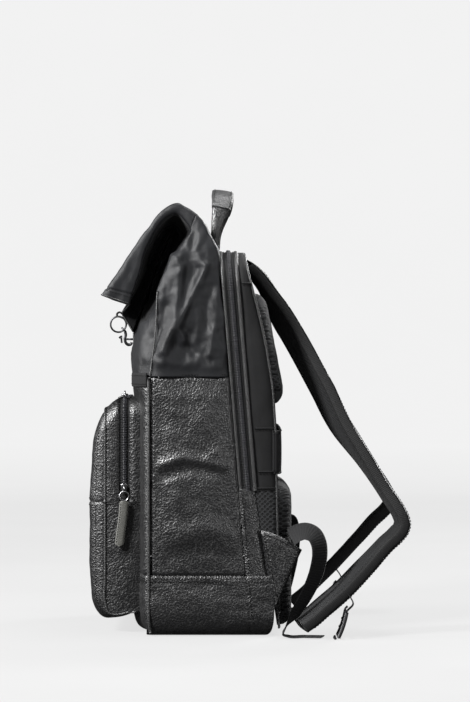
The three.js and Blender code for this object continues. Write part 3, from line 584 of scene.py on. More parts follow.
def side_panel(side, s):
    """Side leather: full in the middle, rolled in at its edges, with soft ridges and folds."""
    rows = np.linspace(BOOT_TOP + 0.3, SEAM - 0.3, 150)
    grid = np.zeros((110, 150, 3))
    across = np.linspace(0, 1, 110)
    for k, z in enumerate(rows):
        grid[:, k, 1] = SIDE_FRONT + 0.4 + across * (back_edge(z) - 0.7 - SIDE_FRONT)
        grid[:, k, 2] = z
    edge = np.minimum(grid[..., 1] - SIDE_FRONT, back_edge(grid[..., 2]) - grid[..., 1])
    end = np.minimum(grid[..., 2] - BOOT_TOP, SEAM - grid[..., 2])
    fullness = smooth(edge, 0, 30) * smooth(end, 0, 40)
    roll = -1.5 * (1 - smooth(edge, 0, 3)) - 1.2 * (1 - smooth(end, 0, 3))
    flat = grid.copy()
    flat[..., 0] = 40 * s
    marks = creases(grid[..., 1:], SIDE_MARKS) * smooth(edge, 0, 12)
    waves = 0.9 * rough(flat, (30, 34, 30), 3.1 * s) * smooth(edge, 0, 16)
    swell = 2.6 * fullness + roll + marks + waves
    grid[..., 0] = s * (HALF + swell)
    obj = lattice(f"side_leather_{side}", grid, LEATHER, "bag", BAG_MIDDLE)
    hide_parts(f"side_panel_{side}")
    line = grid[:, -1].copy()
    line[:, 2] = SEAM + 2.2
    line[:, 0] = s * (HALF + 0.3)
    stitches(f"side_top_stitch_{side}", line[3:-3], (s, 0, 0), "bag", lift=0.25)


for side, s in SIDES:
    side_panel(side, s)


# Front corner in plan as (distance in from the side, y): drawn in beside the pocket, and full above it.
CORNER_DENTED = [
    (0, -62), (0.8, -65.4), (3, -68.4), (7, -70.6), (15, -72.4), (26, -73.8), (38, -75.4), (46, -77.6),
    (54, -80.6),
]
CORNER_FULL = [
    (0, -62), (1, -66), (4, -69.5), (9, -72.6), (16, -75.6), (26, -78.6), (36, -80.8), (46, -82),
    (54, -82.4),
]


def plan_path(inset, back_y, steps, full=0.0):
    """Plan outline of the bag's body as [x, y], from one back corner round the front to the other.
    full is how much of the drawn-in corner is let out again."""
    w = HALF - inset
    front = FRONT_Y + inset
    corner = np.array(CORNER_DENTED) * (1 - full) + np.array(CORNER_FULL) * full
    turn = [(w - dx, y + (inset if dx > 5 else 0)) for dx, y in corner]
    right = [(w, back_y), (w, 20), (w, -20), (w, -50)]
    middle = [(w - 64, front + 0.2), (w - 90, front), (0, front)]
    half = resample(np.array(right + turn + middle), 200)
    return resample(np.concatenate([half, (half * (-1, 1))[::-1][1:]]), steps)


# Boot's outline as (inset, z), from its top edge to its bottom.
BOOT_PROFILE = [
    (0.9, BOOT_TOP), (0, BOOT_TOP - 1.2), (-0.9, 52), (-1.4, 40), (-1.0, 28), (0, 18), (1.8, 10.5),
    (5.2, 4.6), (10, 1.4), (16, 0.3),
]
BOOT_STEPS = 260


def boot():
    """Leather boot with its underside, the face behind it and its stitched seams."""
    rows = []
    for inset, z in spline(BOOT_PROFILE, 44):
        path = plan_path(max(inset, 0), 60.0 - 0.6 * max(inset, 0), BOOT_STEPS)
        outward = path - np.array((0, -10.0))
        if inset < 0:
            path = path + unit(outward) * (-inset)
        rows.append(np.column_stack([path, np.full(len(path), z)]))
    grid = np.stack(rows, axis=1)
    normal = normals(grid, (0, -10, 30))
    y, z = grid[..., 1], grid[..., 2]
    flank = np.abs(grid[..., 0]) > HALF - 6
    seam = np.exp(-(((y - back_edge(z)) / 1.5) ** 2)) * flank
    wave = rough(grid, (42, 42, 26), 9.3) * smooth(z, 2, 16) * smooth(BOOT_TOP - z, 0, 8)
    grid = grid + normal * (1.1 * wave - 1.4 * seam)[..., None]
    obj = lattice("boot_leather", grid, LEATHER, "bag", (0, -10, 30))
    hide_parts("base_boot")
    bottom = grid[:, -1]
    back = np.array([(x, y, 0.3) for x, y in resample(bottom[[-1, 0], :2], 60)])
    ring = np.concatenate([bottom, back[1:-1]])
    inner = [ring * (k, k, 1) + (0, -10 * (1 - k), 0.25 * (1 - k)) for k in (1, 0.97, 0.6, 0.02)]
    lattice("boot_underside", np.stack(inner), LEATHER, "bag", (0, -10, 50), loop_v=True)
    heel = np.stack([grid[0] + (grid[-1] - grid[0]) * t for t in np.linspace(0, 1, 30)])
    lattice("boot_heel", heel, LEATHER, "bag", (0, -10, 30))
    for side, s in SIDES:
        seam_line = [(s * (HALF + 1.2), float(back_edge(z)) + 2.6, z) for z in (56, 40, 26, 14)]
        stitches(f"boot_rear_stitch_{side}", spline(seam_line, 30), (s, 0, 0), "bag", lift=0.2)
    for row, drop in enumerate((2.8, 6.4)):
        path = plan_path(-0.5, 60.0, 200)
        line = np.column_stack([path, np.full(len(path), BOOT_TOP - drop)])
        outward = np.column_stack([unit(path - np.array((0, -10.0))), np.zeros(len(path))])
        flank = np.abs(path[:, 0]) > HALF - 2
        outward[flank, :2] = unit(outward[flank, :2] * (1, 0))
        stitches(f"boot_stitch_{row}", line, outward, "bag", lift=0.5)


boot()


def front_wrap():
    """Front panel with its soft corners, from the boot to the fabric."""
    rows = np.linspace(BOOT_TOP + 0.3, SEAM - 0.3, 90)
    grid = np.zeros((201, 90, 3))
    for k, z in enumerate(rows):
        path = plan_path(0, -60, 240, float(smooth(z, 232, 250)))
        keep = resample(path[path[:, 1] < -62.9], 200)
        grid[:, k, :2] = keep
        grid[:, k, 2] = z
    normal = normals(grid, BAG_MIDDLE)
    end = np.minimum(grid[..., 2] - BOOT_TOP, SEAM - grid[..., 2])
    swell = 0.8 * rough(grid, (36, 36, 30), 21.0) * smooth(end, 0, 12) - 1.2 * (1 - smooth(end, 0, 3))
    grid = grid + normal * np.minimum(swell, 1.6)[..., None] * 0.8
    obj = lattice("front_leather", grid, LEATHER, "bag", BAG_MIDDLE)
    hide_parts("front_panel")


front_wrap()

for side, s in SIDES:
    points = [(s * (HALF - 1.4), -63.6, 4), (s * (HALF - 0.4), -64.6, 9)]
    points += [(s * (HALF + 0.2), -65.2, 16)]
    points += [(s * (HALF + 0.2), -65.4, z) for z in (40, 61, 110, 160, 210, 259)]
    cord = tube(f"front_edge_piping_{side}", points, 1.6, TRIM, "bag", "smooth_leather", 80)
    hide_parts(f"front_piping_{side}")


# ------------------------------------------------------------------ rear compartment
def arch_path(half, top, corner, foot, steps):
    """Round-cornered U as [x, z] with its outward direction, from the right foot over to the left."""
    a = np.linspace(0, math.pi / 2, 12)
    left = [(half, foot), (half, (foot + top) / 2), (half, top - corner)]
    x, z = half - corner, top - corner
    turn = [(x + corner * math.cos(t), z + corner * math.sin(t)) for t in a[1:]]
    side = np.array(left + turn + [(half / 2, top), (0, top)], float)
    whole = np.concatenate([side, (side * (-1, 1))[::-1][1:]])
    path = resample(whole, steps)
    along = unit(np.gradient(path, axis=0))
    return path, np.stack([along[:, 1], -along[:, 0]], axis=1)


def arch_band(profile, half, top, corner, foot, steps, lean=True):
    """Grid of a band along the arch. profile is [depth along Y, height outward] pairs."""
    path, out = arch_path(half, top, corner, foot, steps)
    profile = np.array(profile, float)
    grid = np.zeros((len(path), len(profile), 3))
    grid[..., 0] = path[:, :1] + out[:, :1] * profile[:, 1]
    grid[..., 2] = path[:, 1:] + out[:, 1:] * profile[:, 1]
    base = back_edge(grid[..., 2]) if lean else 0
    grid[..., 1] = base + profile[:, 0]
    return grid


def zip_run(name, arch, middle, steps, lean, height):
    """Row of coil teeth along an arch (half width, top, corner, foot)."""
    path, _ = arch_path(*arch, steps)
    count = int(np.linalg.norm(np.diff(path, axis=0), axis=1).sum() / TOOTH_PITCH)
    path, out = arch_path(*arch, count)
    y = (back_edge(path[:, 1]) if lean else 0) + middle
    up = upright(out, 0.0)
    centres = upright(path, y) + up * height
    return beads(name, centres, (0, 1, 0), up, 4.2, 0.66, COIL, "bag")


TOOTH_PITCH = 1.7


def rear_zip():
    """Tape between two leather lips, with its teeth and stitches. Profiles are (depth, height)."""
    lip = [(0.3, -1.0), (0.9, 0.9), (2.2, 1.2), (3.4, 0.8)]
    tape = [(3.4, 0.8), (4.2, 0.2), (6.6, 0.1), (7.6, 0.8), (9.5, 1.0), (11.4, 0.8), (12.4, 0.1)]
    tape += [(14.8, 0.2)]
    back = [(14.8, 0.2), (15.4, 1.0), (17.2, 1.3), (18.6, 0.7), (19.2, -1.0)]
    band = arch_band(spline(tape, 20), *REAR_ARCH, 320)
    obj = lattice("rear_zip_cloth", band, WEBBING, "bag", BAG_MIDDLE)
    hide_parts("rear_zip_tape")
    for name, profile in (("rear_zip_front_lip", lip), ("rear_zip_back_lip", back)):
        grid = arch_band(spline(profile, 10), *REAR_ARCH, 320)
        lattice(name, grid, TRIM, "bag", BAG_MIDDLE)
    teeth = zip_run("rear_zip_teeth", REAR_ARCH, 9.5, 320, True, 1.6)
    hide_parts("rear_zip_coil")
    for name, depth in (("rear_zip_stitch_front", 5.0), ("rear_zip_stitch_back", 14.0)):
        arch = (*REAR_ARCH[:3], ARCH_FOOT + 4)
        path = arch_band([(depth, 0.3)], *arch, 300)[:, 0]
        _, out = arch_path(*arch, 300)
        stitches(name, path, upright(out, 0.0), "bag", 3.0, 2.1, 0.28)


rear_zip()

# Rear edge of the leather strip as (y, z).
STRIP_EDGE = np.array([(64.6, 0), (64.6, 10), (52, 73), (48, 104), (43, 140), (41.5, 150)])


def gusset_edge(z):
    """Depth where the mesh or cloth flank begins: behind the strip below, behind the zip above."""
    low = np.interp(z, STRIP_EDGE[:, 1], STRIP_EDGE[:, 0])
    high = back_edge(z) + TAPE + 1.0
    return np.where(z < 148, low, np.where(z < 152, low + (high - low) * (z - 148) / 4, high))


def arch_half(z):
    half, top, corner, _ = REAR_ARCH
    return round_corner(half, corner, np.clip(z - (top - corner), 0, corner))


def lower_gusset():
    """Leather strip behind the side panels, from the boot up to the foot of the rear zip."""
    for side, s in SIDES:
        rows = np.linspace(BOOT_TOP + 0.3, ARCH_FOOT + 2, 60)
        grid = np.zeros((14, 60, 3))
        for k, z in enumerate(rows):
            y0, y1 = back_edge(z) + 0.5, float(gusset_edge(z))
            grid[:, k, 1] = np.linspace(y0, y1, 14)
            grid[:, k, 2] = z
        t = np.linspace(0, 1, 14)[:, None]
        grid[..., 0] = s * (142 - 1.2 * (1 - smooth(t, 0, 0.15)) - 4 * t**3 + 0.6 * rough(grid, 22, 5.0))
        lattice(f"rear_strip_{side}", grid, LEATHER, "bag", BAG_MIDDLE)
        line = grid[2, 3:-3] + np.array((0.3 * s, 0, 0))
        stitches(f"rear_strip_stitch_{side}", line, (s, 0, 0), "bag", 3.0, 2.1, 0.3)


lower_gusset()


def back_section(z, columns):
    """Half of the rear's plan at a height: its flank, then its back as far as the middle."""
    w = float(arch_half(z)) - 1.2
    y0, y1 = float(gusset_edge(z)) - 0.6, float(back_at(z)) + 3.4
    y1 = max(y1, y0 + 2.5)
    deep = y1 - y0
    flank = [(w, y0), (w + 0.3, y0 + 0.35 * deep), (w - 1.6, y0 + 0.78 * deep), (w - 4.5, y1 - 0.8)]
    rear = [(w - 4.5, y1 - 0.8), (w - 12, y1 + 0.2), (w - 24, y1 + 0.4), (w * 0.5, y1 + 1.0), (0, y1 + 1.2)]
    return spline(flank, columns), spline(rear, 60)


def back_skin():
    """Rear of the bag: cloth flanks behind the zip, mesh flanks below them and a piped mesh back."""
    rounded = np.linspace(354, 385.5, 26)
    spans = (
        ("low", np.linspace(8, 146, 50), MESH, "mesh"),
        ("high", np.concatenate([np.linspace(146, 352, 90), rounded]), GUSSET, "coated_fabric"),
    )
    for side, s in SIDES:
        for tag, rows, finish, slot in spans:
            grid = np.zeros((len(rows), 25, 3))
            for k, z in enumerate(rows):
                flank, _ = back_section(z, 24)
                grid[k, :, 0] = s * flank[:, 0]
                grid[k, :, 1] = flank[:, 1]
                grid[k, :, 2] = z
            grid[..., 0] += s * 0.7 * rough(grid, (30, 22, 34), 13.0, 2)
            lattice(f"rear_flank_{tag}_{side}", grid, finish, "bag", (0, 0, 200))
    rows = np.concatenate([np.linspace(8, 352, 110), rounded])
    grid = np.zeros((len(rows), 121, 3))
    edge = []
    for k, z in enumerate(rows):
        _, rear = back_section(z, 24)
        grid[k, :61, :2] = rear
        grid[k, 60:, :2] = (rear * (-1, 1))[::-1]
        grid[k, :, 2] = z
        edge.append((rear[0, 0] + 0.6, rear[0, 1] + 0.5, z))
    middle = smooth(130 - np.abs(grid[..., 0]), 0, 20)
    grid[..., 1] += 0.8 * rough(grid, (46, 30, 40), 19.0, 2) * middle
    obj = lattice("back_mesh", grid, MESH, "bag", (0, 0, 200))
    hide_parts("back_panel", "rear_gusset")
    edge = np.array(edge)[5:]
    for side, s in SIDES:
        tube(f"back_piping_{side}", (edge * (s, 1, 1))[::4], 1.3, TRIM, "bag", "smooth_leather", 160)
    for side, s in SIDES:
        for row, z in enumerate((146.5, 163, 206.5, 352)):
            flank, _ = back_section(z, 24)
            line = np.column_stack([s * (flank[2:-2, 0] + 0.5), flank[2:-2, 1], np.full(21, z)])
            stitches(f"flank_stitch_{row}_{side}", line, (s, 0, 0), "bag", lift=0.2)
            seam = line[::4] + (0, 0, 2.0)
            tube(f"flank_seam_{row}_{side}", seam, 0.7, GUSSET, "bag", "coated_fabric", 20)


back_skin()


BAND_LOW, BAND_HIGH = 163.5, 205.5


def luggage_band():
    """Wide band across the back that slips over a suitcase handle, bound along its edges."""
    half = [(137.8, 58.5), (137.4, 62.6), (133, 65.4), (124, 66.4), (70, 67.4), (0, 67.8)]
    points = [(x, y, 0) for x, y in half] + [(-x, y, 0) for x, y in half[::-1][1:]]
    path = spline(points, 220)
    heights = np.linspace(BAND_LOW, BAND_HIGH, 30)
    grid = np.repeat(path[:, None], len(heights), axis=1)
    grid[..., 2] += heights
    out = unit(np.cross((0, 0, 1), np.gradient(path, axis=0)))
    out *= np.sign(out[110, 1])
    t = (heights - BAND_LOW) / (BAND_HIGH - BAND_LOW)
    puff = 0.9 * np.sin(math.pi * t) ** 0.4
    grid = grid + out[:, None] * puff[None, :, None]
    obj = lattice("luggage_webbing", grid, WEBBING, "bag", (0, 0, 184), wall=1.6)
    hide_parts("luggage_strap")
    for row, z in enumerate((BAND_LOW + 3, BAND_HIGH - 3)):
        stitches(f"luggage_stitch_{row}", path + np.array((0, 0, z)), out, "bag", lift=0.6)
    for row, z in enumerate((BAND_LOW, BAND_HIGH)):
        edge = (path + (0, 0, z))[::6]
        tube(f"luggage_edge_{row}", edge, 1.1, TRIM, "bag", "smooth_leather", 160)


luggage_band()


# ------------------------------------------------------------------ fabric collar and roll-top
# Stations of the fabric sleeve. Four (y, z) points: outer line, edge of the side lip, bottom of the side
# fold and inner line. Then three widths: the fold's depth, where the inner line starts, and the half width.
SLEEVE = [
    ((14.7, 259.6), (-64, 260.2), (-74, 260), (-83, 260), 10, 38, 142.6),
    ((11.5, 300), (-60, 291), (-73, 290.5), (-84.5, 290), 12, 38, 142),
    ((9, 330), (-58, 316), (-69, 312), (-80, 308), 18, 40, 141),
    ((7, 350), (-57.5, 334), (-66, 328), (-74, 321), 30, 40, 139.5),
    ((5.5, 368), (-56.5, 348), (-62, 343), (-68, 337), 44, 42, 138),
    ((4.3, 385.7), (-48, 368), (-55, 364), (-60, 358), 54, 44, 136),
    ((-1.6, 398.8), (-39, 383), (-48, 380), (-54, 374), 58, 46, 133.5),
    ((-7.5, 410.9), (-31, 396), (-41, 393), (-47, 391), 60, 48, 131),
    ((-17.9, 424), (-24, 408.5), (-36, 404), (-43.5, 404), 60, 48, 128.5),
    ((-29.7, 431.3), (-32, 420), (-40, 410), (-43, 407), 60, 48, 127),
    ((-37, 435), (-38.5, 425), (-42, 412), (-43.2, 408), 60, 48, 126.5),
    ((-47, 431.5), (-45.5, 422.5), (-45, 412), (-43.6, 408), 60, 48, 126.5),
    ((-54.8, 425.5), (-52, 417.5), (-48.5, 410), (-44.5, 407), 60, 48, 127),
    ((-66.6, 409.2), (-61, 405), (-54, 403), (-48, 402), 60, 48, 127.5),
    ((-74, 399.5), (-65.5, 396.5), (-59, 394), (-53, 392), 58, 46, 128),
    ((-81.4, 390), (-69.5, 388), (-63, 384), (-58, 381), 56, 44, 128.5),
    ((-96.1, 366.4), (-75.5, 364), (-71, 358), (-66.5, 353), 50, 40, 129.5),
    ((-105, 354), (-80.5, 349), (-80, 341), (-73.5, 333), 42, 34, 130),
    ((-113.4, 342.8), (-85.5, 333.5), (-93, 323), (-82.5, 306), 24, 20, 130.5),
]
# Ridges and folds of the cloth's sides as (line of (y, z), height, width).
SLEEVE_MARKS = [
    ([(-39, 380), (-33, 371), (-36, 344), (-39, 317), (-51, 285.5)], 2.4, 5.5),
    ([(-7.5, 371), (-15, 354.5), (-25.5, 333.5), (-33, 317), (-36, 308), (-30, 296)], 2.0, 4.5),
    ([(-24, 303.5), (-25.5, 293), (-20, 284)], -1.4, 4.5),
    ([(0, 308), (-1.5, 296), (-4, 282)], 1.3, 4),
    ([(-15, 402.5), (-18, 386), (-14, 374)], 1.5, 4.5),
    ([(-2, 350), (-8, 330), (-6, 310)], -1.4, 6),
    ([(-60, 300), (-52, 312), (-48, 330)], -1.6, 6),
    ([(-70, 280), (-55, 274), (-30, 272), (0, 270)], 0.9, 7),
]
SLEEVE_STEPS = 230
SIDE_STEPS = 84
WIDE_STEPS = 40
# Half widths between which the cloth deep in the side folds gets painted shade.
FOLD_SHOWS, FOLD_HIDES = 124.0, 74.0


def sleeve_section(outer, lip, fold, inner, fold_in, inner_in, half):
    """Half a station as [x, y, z], from the middle of the outer line round to that of the inner line."""
    along = (lip - outer) / max(np.linalg.norm(lip - outer), 1e-6)
    bend = min(3.0, np.linalg.norm(lip - outer) / 4)
    marks = [
        (half - bend, outer),
        (half - 0.3 * bend, outer + 0.3 * bend * along),
        (half, outer + bend * along),
        (half + 0.5, outer + 0.5 * (lip - outer)),
        (half + 0.1, lip - 1.6 * along),
        (half - 0.8, lip - 0.2 * along),
        (half - 2.6, lip + 0.25 * along),
        (half - 0.45 * fold_in - 1, lip * 0.62 + fold * 0.38),
        (half - fold_in, fold),
        (half - 0.5 * (fold_in + inner_in) - 1.5, fold * 0.35 + inner * 0.65),
        (half - inner_in - 3, inner),
    ]
    side = spline([(x, *point) for x, point in marks], SIDE_STEPS)
    share = np.linspace(0, 1, WIDE_STEPS + 1)[:, None]
    back = np.column_stack([side[0, 0] * share[:-1], np.repeat(side[:1, 1:], WIDE_STEPS, 0)])
    front = np.column_stack([side[-1, 0] * (1 - share[1:]), np.repeat(side[-1:, 1:], WIDE_STEPS, 0)])
    return np.concatenate([back, side, front])


def sleeve_grid():
    """Closed rings of the whole sleeve, from the leather up over the crease to the mouth."""
    data = np.array([(*o, *e, *m, *i, d, k, h) for o, e, m, i, d, k, h in SLEEVE], float)
    rings = []
    for row in spline(data, SLEEVE_STEPS):
        right = sleeve_section(row[0:2], row[2:4], row[4:6], row[6:8], *row[8:11])
        rings.append(np.concatenate([right, (right * (-1, 1, 1))[::-1][1:-1]]))
    return np.array(rings)


def rolled_cloth():
    """The fabric sleeve in two parts: the collar on the bag, and the part that turns over its top."""
    grid = sleeve_grid()
    around = np.roll(grid, -1, axis=1) - np.roll(grid, 1, axis=1)
    normal = unit(np.cross(np.gradient(grid, axis=0), around))
    if np.sum(normal[:40] * (grid[:40] - np.array((0, -35, 280)))) < 0:
        normal = -normal
    rows = np.arange(len(grid))[:, None] / (len(grid) - 1)
    side = smooth(np.abs(grid[..., 0]), 90, 132)
    marks = 1.7 * creases(grid[..., 1:], SLEEVE_MARKS) * side * (1 - smooth(rows, 0.42, 0.55))
    folds = 1.9 * rough(grid, (60, 20, 32), 4.2) + 0.5 * rough(grid, (16, 9, 14), 8.8)
    ease = smooth(rows, 0, 0.05)
    grid = grid + normal * ((marks + folds) * ease * (1 - 0.6 * smooth(rows, 0.4, 0.6)))[..., None]
    hem = np.exp(-(((rows - 0.95) / 0.006) ** 2)) * 0.8
    grid = grid - normal * hem[..., None]
    middle = grid[:, 0]
    cut = int(np.argmax((middle[:, 2] > 423) & (middle[:, 1] < -16)))
    low, high = grid[:cut + 1], grid[cut:]
    cloth = lattice("collar_cloth", low, COATED, "bag", loop_v=True, wall=1.4)
    roll = lattice("roll_cloth", high, COATED, None, loop_v=True, wall=1.4)
    for obj, part in ((cloth, slice(0, cut + 1)), (roll, slice(cut, None))):
        face_like(obj, normal[part])
    paint_fold_shade(cloth, low)
    paint_fold_shade(roll, high)
    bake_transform(roll)
    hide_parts("collar")
    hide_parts("ridge_fold", "flap")
    return grid, normal


def paint_fold_shade(obj, grid):
    """Gives the faces inside the side folds the darker lining cloth as painted shade: they are the coated
    fabric lying in shadow.
    """
    obj.data.materials.append(LINING_AND_FOLD_SHADE)
    columns = grid.shape[1]
    lip = WIDE_STEPS + int(SIDE_STEPS * 0.62)
    for polygon in obj.data.polygons:
        rows, cols = np.divmod(np.array(polygon.vertices), columns)
        row, col = rows.min(), min(cols.min(), columns - cols.max())
        deep = FOLD_HIDES < abs(grid[row, cols[0], 0]) < FOLD_SHOWS
        # Painted shade: these faces of coated fabric are given the near-black lining so that they look
        # shadowed.
        if grid[row, 0, 2] > 335 and col > lip - 30 and deep:
            polygon.material_index = 1


def face_like(obj, wanted):
    """Flips a sheet's faces if they look away from the wanted direction at its points."""
    mesh = obj.data
    normals_now = np.array([v.normal for v in mesh.vertices])
    if np.sum(normals_now * wanted.reshape(-1, 3)) < 0:
        mesh.flip_normals()


CLOTH, CLOTH_NORMAL = rolled_cloth()


def cloth_details():
    """Stitched and bound hem at the mouth, and the seams at the collar's front corners."""
    count = CLOTH.shape[1]
    side_end = WIDE_STEPS + SIDE_STEPS
    for tag, row in (("a", -9), ("b", -13)):
        ring, up = CLOTH[row], CLOTH_NORMAL[row]
        for part, a, b in (("right", 1, side_end), ("left", count - side_end, count - 1)):
            stitches(f"mouth_stitch_{tag}_{part}", ring[a:b], up[a:b], "roll_flap")
    ring = np.concatenate([CLOTH[-1], CLOTH[-1][:1]])
    tube("mouth_binding", ring[::3], 0.85, TRIM, "roll_flap", "coated_fabric", 420, sides=6)
    seam = [(142.9, -64.2, 261), (142.6, -61.6, 280), (142.2, -60, 292), (141.4, -58.4, 310)]
    seam += [(140.4, -57.6, 326), (139.4, -57.2, 338), (138.6, -56.6, 346)]
    for side, s in SIDES:
        line = [(s * x, y, z) for x, y, z in seam]
        tube(f"collar_seam_{side}", line, 0.75, TRIM, "bag", "coated_fabric", 70)


cloth_details()


TRIM_LOW, TRIM_HIGH = 250, 264


def trim_band():
    """Woven band over the seam between the leather and the cloth."""
    path = plan_path(-1.6, -60, 240, 1.0)
    keep = resample(path[path[:, 1] < -65.5], 180)
    heights = np.linspace(TRIM_LOW, TRIM_HIGH, 16)
    grid = np.zeros((181, 16, 3))
    grid[..., 0] = keep[:, None, 0]
    grid[..., 1] = keep[:, None, 1]
    grid[..., 2] = heights
    out = normals(grid, BAG_MIDDLE)
    t = (heights - TRIM_LOW) / (TRIM_HIGH - TRIM_LOW)
    grid = grid + out * (0.5 * np.sin(math.pi * t) ** 0.5)[None, :, None]
    obj = lattice("front_trim", grid, WEBBING, "bag", BAG_MIDDLE, wall=1.4)
    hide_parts("front_trim_band")
    for row, k in enumerate((3, 12)):
        line = grid[:, k] + out[:, k] * 0.2
        stitches(f"front_trim_stitch_{row}", line, out[:, k], "bag", 2.6, 2.0, 0.26)


trim_band()


# ------------------------------------------------------------------ front pocket
POCKET_HALF = 105.0
POCKET_TOP = 237.6
POCKET_SPLIT = 133
POCKET_CORNER = 20.0
PIPING_Y = -110.8
# Middle line of the pocket's face as (y, z), from the piping at its top down and back under it.
FRONT_LINE = [
    (-110.8, 226.4), (-113.4, 223.6), (-118, 214), (-121.4, 203), (-123.6, 192), (-125.6, 172),
    (-126.8, 154), (-127.4, 133), (-127.6, 110), (-127.6, 75), (-127.2, 52), (-126.2, 38), (-123.8, 29),
    (-119.4, 21), (-112.5, 15.2), (-101, 14.6), (-90, 16.5), (-82.6, 19),
]
POCKET_MARKS = [
    ([(-60, 0, 205), (-10, 0, 212), (50, 0, 204)], 0.8, 14),
    ([(-90, 0, 60), (-40, 0, 48), (30, 0, 52), (92, 0, 44)], -0.9, 12),
    ([(-80, 0, 150), (-20, 0, 139), (60, 0, 143)], 0.8, 10),
]


def pocket_front():
    """The pocket's front and bottom in one piece, rounded back to the piping at its sides."""
    line = spline(FRONT_LINE, 150)
    along = unit(np.gradient(line, axis=0))
    inward = np.column_stack([-along[:, 1], along[:, 0]])
    inward *= np.sign(np.sum(inward * (np.array((-95, 110)) - line), axis=1, keepdims=True))
    depth = np.where(line[:, 1] > 40, PIPING_Y - line[:, 0], 14.0)
    under = np.where(line[:, 1] < 40, smooth(line[:, 0], -126, -100), 0)
    depth = depth * (1 - 0.75 * under)
    depth = np.convolve(np.pad(depth, 6, mode="edge"), np.ones(13) / 13, mode="valid")
    t = np.linspace(-1, 1, 150)
    x = POCKET_HALF * np.sign(t) * (1 - (1 - np.abs(t)) ** 1.35)
    grid = np.zeros((len(line), len(x), 3))
    grid[..., 0] = x
    into = np.clip(line[:, 1:] - (FRONT_LINE[0][1] - POCKET_CORNER), 0, None)
    reach = round_corner(POCKET_HALF, POCKET_CORNER, into)
    grid[..., 0] = np.clip(grid[..., 0], -reach, reach)
    near = np.maximum(reach - np.abs(grid[..., 0]), 0)
    push = depth[:, None] * (1 - quarter_round(near, 19.0))
    grid[..., 1] = line[:, :1] + inward[:, :1] * push
    grid[..., 2] = line[:, 1:] + inward[:, 1:] * push
    side = grid[:, -1].copy()
    out = normals(grid, (0, -90, 120))
    free = smooth(near, 0, 14)
    swell = (1.0 * rough(grid, (34, 30, 30), 17.0) + creases(grid * (1, 0, 1), POCKET_MARKS)) * free
    grid = grid + out * np.minimum(swell, 1.8)[..., None]
    return grid, side, out


POCKET, POCKET_SIDE, POCKET_OUT = pocket_front()


def pocket_faces():
    """The pocket's leather face with its seam at the hinge, and the stitches along it."""
    seam = np.exp(-(((POCKET[..., 2] - POCKET_SPLIT) / 0.9) ** 2)) * (POCKET[..., 1] < -100)
    front = POCKET - POCKET_OUT * (1.1 * seam)[..., None]
    face = lattice("pocket_face", front, LEATHER, None, (0, -90, 120), wall=2.0)
    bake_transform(face)
    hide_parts("pocket_cover", "pocket_base")
    for name, low, high, body in (("lid", 141, 230, "pocket_lid"), ("tub", 20, 131, "bag")):
        for side, s in SIDES:
            column = -7 if s > 0 else 6
            line = front[:, column]
            keep = (line[:, 2] > low) & (line[:, 2] < high) & (line[:, 1] < -108)
            facing = POCKET_OUT[:, column][keep]
            stitches(f"pocket_edge_stitch_{name}_{side}", line[keep], facing, body, lift=0.2)
    for row, z in enumerate((129.6, 136.6)):
        body = "bag" if z < POCKET_SPLIT else "pocket_lid"
        underside = front[:, 75, 1] > -120
        k = int(np.argmin(np.abs(front[:, 75, 2] - z) + 1000 * underside))
        stitches(f"pocket_seam_stitch_{row}", front[k, 6:-6], POCKET_OUT[k, 6:-6], body, lift=0.2)


pocket_faces()


def pocket_sides():
    """Plain sides of the pocket below its zip, from the piping back to the bag."""
    for side, s in SIDES:
        line = resample(POCKET_SIDE[POCKET_SIDE[:, 2] < 150] * (s, 1, 1), 70)
        wall = np.zeros((71, 16, 3))
        for k, (x, y, z) in enumerate(line):
            foot = np.array((s * POCKET_HALF, -74.6, max(z, 21.0)))
            for j, t in enumerate(np.linspace(0, 1, 16)):
                wall[k, j] = np.array((x, y, z)) * (1 - t) + foot * t
        wall = wall[wall[:, 0, 2] < POCKET_SPLIT + 1]
        t = np.linspace(0, 1, 16)[None, :]
        bulge = 1.6 * np.sin(math.pi * t) ** 0.8 + 0.8 * rough(wall, 20, 31.0 * s)
        wall[..., 0] += s * bulge * np.sin(math.pi * t) ** 0.3
        lattice(f"pocket_flank_{side}", wall, LEATHER, "bag", (0, -95, 90))
    for side, s in SIDES:
        line = np.array([(s * (POCKET_HALF + 0.6), y, 133.4) for y in (-110.4, -100, -90, -76)])
        line = resample(line + (0, 0, -2.6), 12)
        stitches(f"pocket_flank_stitch_{side}", line, (s, 0, 0), "bag", lift=0.5)


pocket_sides()


# Rings of the leather strips in front of and behind the pocket's zip, as (y, half width, top, corner).
GUSSET_RINGS = (
    (-96.0, 105.0, POCKET_TOP, 18), (-97.2, 106.2, 238.4, 19), (-100, 106.4, 236.8, 20),
    (-104, 106.4, 234.0, 20), (-108, 106.0, 230.2, 20), (-110.4, 105.2, 227.2, 20),
)
BACK_RINGS = (
    (-86.2, 105.0, POCKET_TOP, 18), (-85.2, 106.3, 239, 19), (-80, 106.6, 239.4, 19),
    (-74.6, 106.0, 239.0, 19),
)


def arch_rings(rings):
    """Grid of a strip through rings of the pocket's arch."""
    lines = []
    for y, half, top, corner in rings:
        path, _ = arch_path(half, top, corner, 133.2, 240)
        lines.append(upright(path, y))
    return np.stack(lines, axis=1)


